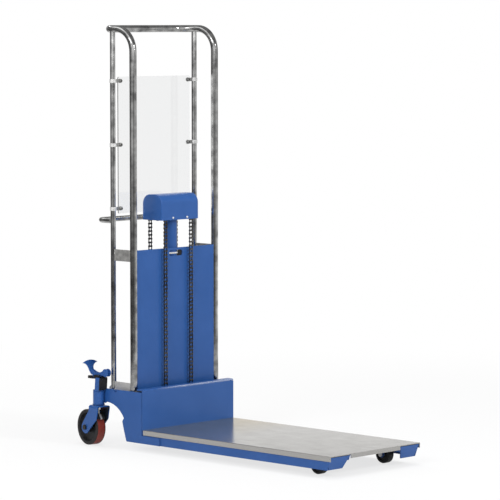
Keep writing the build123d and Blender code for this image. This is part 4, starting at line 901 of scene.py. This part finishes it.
@dataclass
class Hoist:
    """Chains that follow the lift, and the trim of the chain head and the cylinder."""

    wardrobe: Wardrobe
    frame: dict
    pitch: float = 15.875 * MM
    spare_links: int = 36
    spare_depth: float = 0.97
    hood_screw_x: float = 41 * MM
    hood_screw_rise: float = 9 * MM
    hood_screw_radius: float = 4.6 * MM
    hood_screw_height: float = 2.8 * MM
    rod_radius: float = 17.5 * MM
    rod_lip: tuple = ((0.3, 0), (6, 0), (5, 2.5), (0.6, 4))
    plate_rear: float = 3 * MM
    # Size and place of the black block that paints shade behind the slot
    shade_block_reach: float = 60 * MM
    shade_block_open: float = 14 * MM
    shade_block_height: float = 32 * MM
    shade_block_thick: float = 1.4 * MM
    shade_block_round: float = 0.4 * MM

    def links(self, node: str, keep: Callable[[float], bool]) -> BMesh:
        """Merged copy of the links of a chain node whose middles pass a test.

        Args:
            node: Name of the chain node.
            keep: Test of the height of a link's middle.

        Returns:
            The links that stay.
        """
        mesh = bmesh.new()
        mesh.from_mesh(self.frame["nodes"][node].data)
        bmesh.ops.remove_doubles(mesh, verts=mesh.verts, dist=MERGE_GAP)
        seen: set[BMVert] = set()
        dropped: list[BMVert] = []
        for start in mesh.verts:
            if start in seen:
                continue
            island = [start]
            seen.add(start)
            for vert in island:
                for edge in vert.link_edges:
                    other = edge.other_vert(vert)
                    if other not in seen:
                        seen.add(other)
                        island.append(other)
            heights = [v.co.z for v in island]
            if not keep((min(heights) + max(heights)) / 2):
                dropped += island
        bmesh.ops.delete(mesh, geom=dropped, context="VERTS")
        return mesh

    def strand(self, name: str, node: str, body: str, keep: Callable[[float], bool],
               depth: float = 1.0) -> Object:
        """Piece made from some links of a chain node.

        Args:
            name: Name of the piece.
            node: Chain node that its links come from.
            body: CAD body that carries it.
            keep: Test of the height of a link's middle.
            depth: Share of their depth that the links keep, under 1 for spares hidden inside others.

        Returns:
            The piece.
        """
        work = Sculpt(self.links(node, keep))
        low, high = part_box(node)
        middle = (low + high) / 2
        shrink = Matrix.Translation(middle) @ Matrix.Diagonal((1.0, depth, 1.0, 1.0))
        work.moved(work.mesh.verts, shrink @ Matrix.Translation(-middle))
        return work.finish(name, body, "chain_steel", self.wardrobe)

    def chains(self) -> None:
        """Lifting strands split into links that ride the carriage and links that ride the ram, and spare
        links for the fixed strands.
        """
        sprocket_low, sprocket_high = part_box("left_sprocket")
        tangent_z = (sprocket_low.z + sprocket_high.z) / 2
        split = tangent_z - self.spare_links * self.pitch
        lower = self.strand("lifting_strand_lower", "front_chains", "carriage", lambda z: z < split)
        upper = self.strand("lifting_strand_upper", "front_chains", "ram", lambda z: z > split)
        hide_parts("front_chains")
        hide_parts("front_chains")
        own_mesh(upper)
        self.strand("fixed_strand_spare", "back_chains", "ram", lambda z: z > split, self.spare_depth)

    def hood_screws(self) -> None:
        """Screws that hold the hood to the hangers, front and back."""
        work = Sculpt()
        low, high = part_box("hood")
        z = low.z + self.hood_screw_rise
        for x in (-self.hood_screw_x, self.hood_screw_x):
            for y, way in ((low.y, FORWARD), (high.y, BACKWARD)):
                work.socket_screw(facing((x, y, z), way), self.hood_screw_radius, self.hood_screw_height)
        # The hood screws wear the near-white zinc, a painted highlight
        work.finish("hood_screws", "ram", "zinc", self.wardrobe, look="zinc_painted_glint")

    def rod_seal(self) -> None:
        """Wiper lip on the gland round the ram."""
        work = Sculpt()
        low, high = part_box("cylinder_gland")
        place = facing(((low.x + high.x) / 2, (low.y + high.y) / 2, high.z), UP)
        work.turned(place, in_metres(self.rod_lip, self.rod_radius))
        work.finish("rod_wiper", "base", "black_polymer", self.wardrobe)

    def slot_shade_block(self) -> None:
        """Black block behind the right end of the mast plate's slot, painted shade for the shadowed hollow
        there.
        """
        work = Sculpt()
        low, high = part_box("cylinder_clamp")
        x = (self.shade_block_reach + self.shade_block_open) / 2
        y = low.y + self.plate_rear + self.shade_block_thick / 2
        size = (self.shade_block_reach - self.shade_block_open, self.shade_block_thick, self.shade_block_height)
        work.slab(Matrix.Translation((x, y, (low.z + high.z) / 2)), size, self.shade_block_round)
        work.finish("slot_shade_block", "base", "black_polymer", self.wardrobe)

    def build(self) -> None:
        """Make every piece of the hoist."""
        self.chains()
        self.hood_screws()
        self.rod_seal()
        self.slot_shade_block()


@dataclass
class Base:
    """Weld seams of the base plates and legs, and the bearing shields of the front rollers."""

    wardrobe: Wardrobe
    seam_radius: float = 1.8 * MM
    seam_step: float = 3.2 * MM
    toe_rise: float = 2 * MM
    toe_top: float = 64 * MM
    toe_length: float = 105 * MM
    housing_inset: float = 1 * MM
    housing_band: tuple = (196 * MM, 231 * MM)
    shield: tuple = ((6.6, -1.5), (12, -1.5), (12, 0.4), (10.5, 0.9), (7.2, 0.9), (6.6, 0.4))

    def seam(self, work: Sculpt, start: Sequence[float], end: Sequence[float]) -> None:
        """Straight weld seam from one point to another."""
        work.bead(line_path(start, end, self.seam_step), self.seam_radius)

    def side_seams(self) -> None:
        """Seams along the toe of each side plate and beside each caster housing."""
        work = Sculpt()
        bottom, top = self.housing_band
        for side, sign in SIDES.items():
            low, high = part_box(side + "_side_plate")
            leg_x = low.x if sign > 0 else high.x
            corner = (leg_x, low.y, self.toe_top)
            self.seam(work, (leg_x, low.y, low.z + self.toe_rise), corner)
            self.seam(work, corner, (leg_x, low.y + self.toe_length, self.toe_top))
            y = high.y - self.housing_inset
            for x in (low.x, high.x):
                self.seam(work, (x, y, bottom), (x, y, top))
        work.finish("side_seams", "base", "blue_paint", self.wardrobe)

    def shelf_seams(self) -> None:
        """Seams where the rear shelf meets the side plates."""
        work = Sculpt()
        low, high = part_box("base_shelf")
        for x in (low.x, high.x):
            self.seam(work, (x, low.y, high.z), (x, high.y, high.z))
            self.seam(work, (x, high.y, low.z), (x, high.y, high.z))
        work.finish("shelf_seams", "base", "blue_paint", self.wardrobe)

    def roller_shields(self) -> None:
        """Bearing shields in both faces of each front roller."""
        for side in SIDES:
            work = Sculpt()
            low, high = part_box(side + "_front_roller")
            middle = (low + high) / 2
            for x, way in ((low.x, -1), (high.x, 1)):
                work.turned(facing((x, middle.y, middle.z), (way, 0, 0)), in_metres(self.shield))
            work.finish(side + "_roller_shields", side + "_roller", "zinc", self.wardrobe)

    def build(self) -> None:
        """Make every piece of the base."""
        self.side_seams()
        self.shelf_seams()
        self.roller_shields()


@dataclass
class Caster:
    """Raceway, toe pad and block cheeks of one braked caster."""

    wardrobe: Wardrobe
    side: str
    sign: int
    housing_radius: float = 23.5 * MM
    dust_ring: tuple = ((20.6, -0.5), (26, -0.5), (26, 2.4), (24.5, 3.4), (20.6, 3.4))
    pad_size: tuple = (23 * MM, 33 * MM, 12 * MM)
    pad_inset: float = 17 * MM
    pad_rise: float = 4.5 * MM
    pad_round: float = 2 * MM
    tab_reach: float = 55 * MM
    cheek_size: tuple = (4.4 * MM, 34 * MM, 17 * MM)
    cheek_x: float = 16 * MM
    cheek_shift: float = 5 * MM
    cheek_z: float = 292 * MM
    cheek_round: float = 1.2 * MM

    def raceway(self) -> None:
        """Dust ring between the fork crown and the housing."""
        work = Sculpt()
        low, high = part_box("caster_housings")
        x = self.sign * ((high.x - low.x) / 2 - self.housing_radius)
        work.turned(facing((x, (low.y + high.y) / 2, low.z), DOWN), in_metres(self.dust_ring))
        work.finish(self.side + "_raceway", "base", "blue_paint", self.wardrobe)

    def toe_pad(self) -> None:
        """Dark sleeve on the lower tab of the brake pedal."""
        work = Sculpt()
        low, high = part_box(self.side + "_brake_pedal")
        middle = ((low.x + high.x) / 2, high.y - self.pad_inset, low.z + self.pad_rise)
        work.slab(Matrix.Translation(middle), self.pad_size, self.pad_round)
        work.finish(self.side + "_toe_pad", self.side + "_brake_lever", "black_polymer", self.wardrobe)

    def block_cheeks(self) -> None:
        """Upper cheeks of the guide block, one on each side of the brake lever."""
        work = Sculpt()
        low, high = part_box(self.side + "_brake_pedal")
        kingpin_x = (low.x + high.x) / 2
        y = high.y - self.tab_reach - self.cheek_shift
        for x in (kingpin_x - self.cheek_x, kingpin_x + self.cheek_x):
            work.slab(Matrix.Translation((x, y, self.cheek_z)), self.cheek_size, self.cheek_round)
        work.finish(self.side + "_block_cheeks", "base", "black_polymer", self.wardrobe)

    def build(self) -> None:
        """Make every piece of the caster."""
        self.raceway()
        self.toe_pad()
        self.block_cheeks()


@dataclass
class PumpUnit:
    """Fasteners and seals of the foot pump."""

    wardrobe: Wardrobe
    screw_x: tuple = (10 * MM, 70 * MM)
    screw_y: tuple = (60 * MM, 30 * MM)
    screw_z: float = 300 * MM
    screw_radius: float = 5 * MM
    screw_height: float = 5 * MM
    collar_top: float = 304 * MM
    plunger_lip: tuple = ((0.2, 0), (3.6, 0), (2.6, 1.4), (0.4, 1.6))

    def block_screws(self) -> None:
        """Cap screws in the corners of the pump casting."""
        work = Sculpt()
        low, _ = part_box("pump_block")
        for x in self.screw_x:
            for y in self.screw_y:
                place = facing((low.x + x, low.y + y, self.screw_z), UP)
                work.socket_screw(place, self.screw_radius, self.screw_height)
        work.finish("pump_screws", "base", "zinc", self.wardrobe)

    def plunger_seal(self) -> None:
        """Wiper lip on the collar round the plunger."""
        work = Sculpt()
        low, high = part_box("pump_plunger")
        place = facing(((low.x + high.x) / 2, (low.y + high.y) / 2, self.collar_top), UP)
        work.turned(place, in_metres(self.plunger_lip, (high.x - low.x) / 2))
        work.finish("plunger_wiper", "base", "black_polymer", self.wardrobe)

    def build(self) -> None:
        """Make every piece of the pump."""
        self.block_screws()
        self.plunger_seal()


@dataclass(frozen=True)
class Lamp:
    """Square soft box that faces a height on the lift's middle line."""

    name: str
    place: tuple
    aim_z: float
    size: float
    power: float

    def hang(self) -> None:
        """Add the lamp to the scene."""
        data = bpy.data.lights.new(self.name, "AREA")
        data.size = self.size
        data.energy = self.power
        aimed(self.name, data, self.place, (0, 0, self.aim_z))


@dataclass
class Studio:
    """Camera, soft lights, pale floor, white surround and a screen for the chrome to reflect."""

    camera_place: tuple = (-8.4225, -8.1253, 1.7799)
    camera_target: tuple = (0.0306, 0.0069, 0.837)
    lens: float = 206.1
    sensor: float = 36.0
    far_clip: float = 100.0
    surround: float = 0.42
    white: tuple = (1.0, 1.0, 1.0, 1.0)
    round_steps: int = 96
    floor_radius: float = 30.0
    floor_tone: tuple = (0.82, 0.82, 0.82, 1.0)
    floor_glow: tuple = (0.74, 1.0)
    glow_reach: tuple = (1.2, 4.0)
    floor_sheen: float = 0.45
    screen_radius: float = 3.0
    screen_top: float = 3.0
    low_tones: tuple = ((0.22, 1.0), (0.26, 0.08), (0.64, 0.08), (0.74, 0.30), (0.84, 0.45), (0.94, 0.50),
                        (0.98, 1.0))
    high_tones: tuple = ((0.20, 0.30), (0.28, 0.08), (0.37, 0.12), (0.46, 0.46), (0.56, 0.46), (0.65, 0.14),
                         (0.75, 0.44), (0.94, 0.50), (0.99, 0.30))
    high_blend: tuple = (0.5, 1.2)
    crown_tones: tuple = ((0.20, 0.30), (0.28, 0.10), (0.40, 0.20), (0.52, 0.55), (0.59, 1.0), (0.67, 1.0),
                          (0.73, 0.30), (0.80, 0.46), (0.94, 0.50), (0.99, 0.30))
    crown_blend: tuple = (1.50, 1.62)
    lid_shift: float = 1.85
    lid_tone: float = 0.18
    lamps: tuple = (Lamp("key", (0.8, -5.6, 3.6), 0.8, 1.1, 172.0),
                    Lamp("fill", (-5.0, -1.0, 3.4), 0.7, 2.4, 130.0),
                    Lamp("overhead", (0.2, 0.4, 5.2), 0.5, 3.0, 90.0),
                    Lamp("rear", (1.5, 5.0, 3.2), 0.9, 2.6, 90.0))

    def camera(self) -> None:
        """Long lens at the photograph's viewing angle."""
        data = bpy.data.cameras.new("camera")
        data.sensor_width = self.sensor
        data.lens = self.lens
        data.clip_end = self.far_clip
        bpy.context.scene.camera = aimed("camera", data, self.camera_place, self.camera_target)

    def seen_rays(self, graph: NodeGraph) -> Socket:
        """Mask of camera, glossy and transmission rays.

        Args:
            graph: Nodes to add it to.

        Returns:
            Value socket, 1 for those rays.
        """
        path = graph.add("LightPath").outputs
        total = path["Is Camera Ray"]
        for name in ("Is Glossy Ray", "Is Transmission Ray"):
            total = graph.math("MAXIMUM", total, path[name])
        return total

    def world(self) -> None:
        """White surround for the eye and for reflections, softer for light."""
        world = bpy.data.worlds.new("surround")
        world.use_nodes = True
        graph = NodeGraph(world.node_tree)
        shades = []
        for strength in (self.surround, 1.0):
            shade = graph.add("Background", {"Color": self.white, "Strength": strength})
            shades.append(shade.outputs["Background"])
        mix = graph.add("MixShader", {"Fac": self.seen_rays(graph), 1: shades[0], 2: shades[1]})
        graph.add("OutputWorld", {"Surface": mix.outputs["Shader"]})
        bpy.context.scene.world = world

    def stage_cloth(self, name: str) -> tuple[Material, NodeGraph]:
        """Empty material for the floor or a card.

        Args:
            name: Name of the material.

        Returns:
            The material and its nodes.
        """
        material = bpy.data.materials.new(name)
        material.use_nodes = True
        return material, NodeGraph(material.node_tree)

    def disc(self, radius: float) -> BMesh:
        """Flat round sheet about the origin.

        Args:
            radius: Its radius.

        Returns:
            The sheet.
        """
        mesh = bmesh.new()
        bmesh.ops.create_circle(mesh, cap_ends=True, segments=self.round_steps, radius=radius)
        return mesh

    def floor(self) -> None:
        """Pale round floor that keeps a faint shadow and fades into the surround."""
        material, graph = self.stage_cloth("pale_floor")
        path = graph.add("LightPath").outputs
        rays = {0: path["Is Glossy Ray"], 1: path["Is Transmission Ray"]}
        mirrored = graph.add("Math", rays, operation="SUBTRACT", use_clamp=True).outputs["Value"]
        strength = graph.remap(mirrored, FULL_SPAN, (1.0, self.floor_sheen))
        glow = graph.add("Emission", {"Strength": strength}).outputs["Emission"]
        lit = graph.add("BsdfDiffuse", {"Color": self.floor_tone}).outputs["BSDF"]
        distance = graph.add("VectorMath", {0: graph.place()}, operation="LENGTH").outputs["Value"]
        fade = graph.remap(distance, self.glow_reach, self.floor_glow, "SMOOTHSTEP")
        share = graph.math("MULTIPLY", self.seen_rays(graph), fade)
        mix = graph.add("MixShader", {"Fac": share, 1: lit, 2: glow})
        graph.add("OutputMaterial", {"Surface": mix.outputs["Shader"]})
        floor = stand("floor", self.disc(self.floor_radius), material)

    def hang(self, name: str, mesh: BMesh, material: Material) -> None:
        """Hang a card in the studio that only reflections see.

        Args:
            name: Name of the card.
            mesh: Its shape.
            material: Its cloth.
        """
        card = stand(name, mesh, material)
        card.visible_camera = False
        card.visible_diffuse = False
        card.visible_transmission = False
        card.visible_shadow = False

    def round_tones(self, graph: NodeGraph, stops: tuple) -> Socket:
        """Grey that changes with the direction round the lift.

        Args:
            graph: Nodes of the screen's cloth.
            stops: Pairs of a share of the full turn and a grey.

        Returns:
            Colour socket.
        """
        turn = graph.add("Mapping", {"Vector": graph.place(), "Rotation": (0.0, 0.0, math.pi)})
        around = graph.add("TexGradient", {"Vector": turn.outputs["Vector"]}, gradient_type="RADIAL")
        return graph.ramp(around.outputs["Fac"], [(place, (tone, tone, tone)) for place, tone in stops])

    def screen(self) -> None:
        """Upright round screen, dark on the left low down, grey higher up and bright in front at the top."""
        mesh = bmesh.new()
        bmesh.ops.create_cone(mesh, cap_ends=False, segments=self.round_steps, radius1=self.screen_radius,
                              radius2=self.screen_radius, depth=self.screen_top)
        bmesh.ops.translate(mesh, verts=mesh.verts, vec=(0, 0, self.screen_top / 2))
        material, graph = self.stage_cloth("screen_cloth")
        height = graph.along("Z")
        colour = self.round_tones(graph, self.low_tones)
        for tones, heights in ((self.high_tones, self.high_blend), (self.crown_tones, self.crown_blend)):
            colour = graph.blend(graph.remap(height, heights), colour, self.round_tones(graph, tones))
        glow = graph.add("Emission", {"Color": colour})
        graph.add("OutputMaterial", {"Surface": glow.outputs["Emission"]})
        self.hang("screen", mesh, material)

    def lid(self) -> None:
        """Grey round card over the lift, open to the front left."""
        mesh = self.disc(self.screen_radius)
        bmesh.ops.translate(mesh, verts=mesh.verts, vec=(self.lid_shift, 0, self.screen_top))
        material, graph = self.stage_cloth("lid_cloth")
        glow = graph.add("Emission", {"Strength": self.lid_tone})
        graph.add("OutputMaterial", {"Surface": glow.outputs["Emission"]})
        self.hang("lid", mesh, material)

    def build(self) -> None:
        """Set up the whole studio."""
        bpy.context.scene.view_settings.view_transform = "Standard"
        self.camera()
        self.world()
        self.floor()
        self.screen()
        self.lid()
        for lamp in self.lamps:
            lamp.hang()


def main() -> None:
    """Load the frame, dress it, add the pieces and set the studio."""
    logging.basicConfig(level=logging.INFO, format="%(name)s: %(message)s")
    for start_object in list(bpy.data.objects):
        bpy.data.objects.remove(start_object)
    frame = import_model()
    wardrobe = Wardrobe()
    wardrobe.dress_frame(frame)
    Studio().build()
    Mast(wardrobe).build()
    Hoist(wardrobe, frame).build()
    Base(wardrobe).build()
    for side, sign in SIDES.items():
        Caster(wardrobe, side, sign).build()
    PumpUnit(wardrobe).build()


if __name__ == "__main__":
    main()
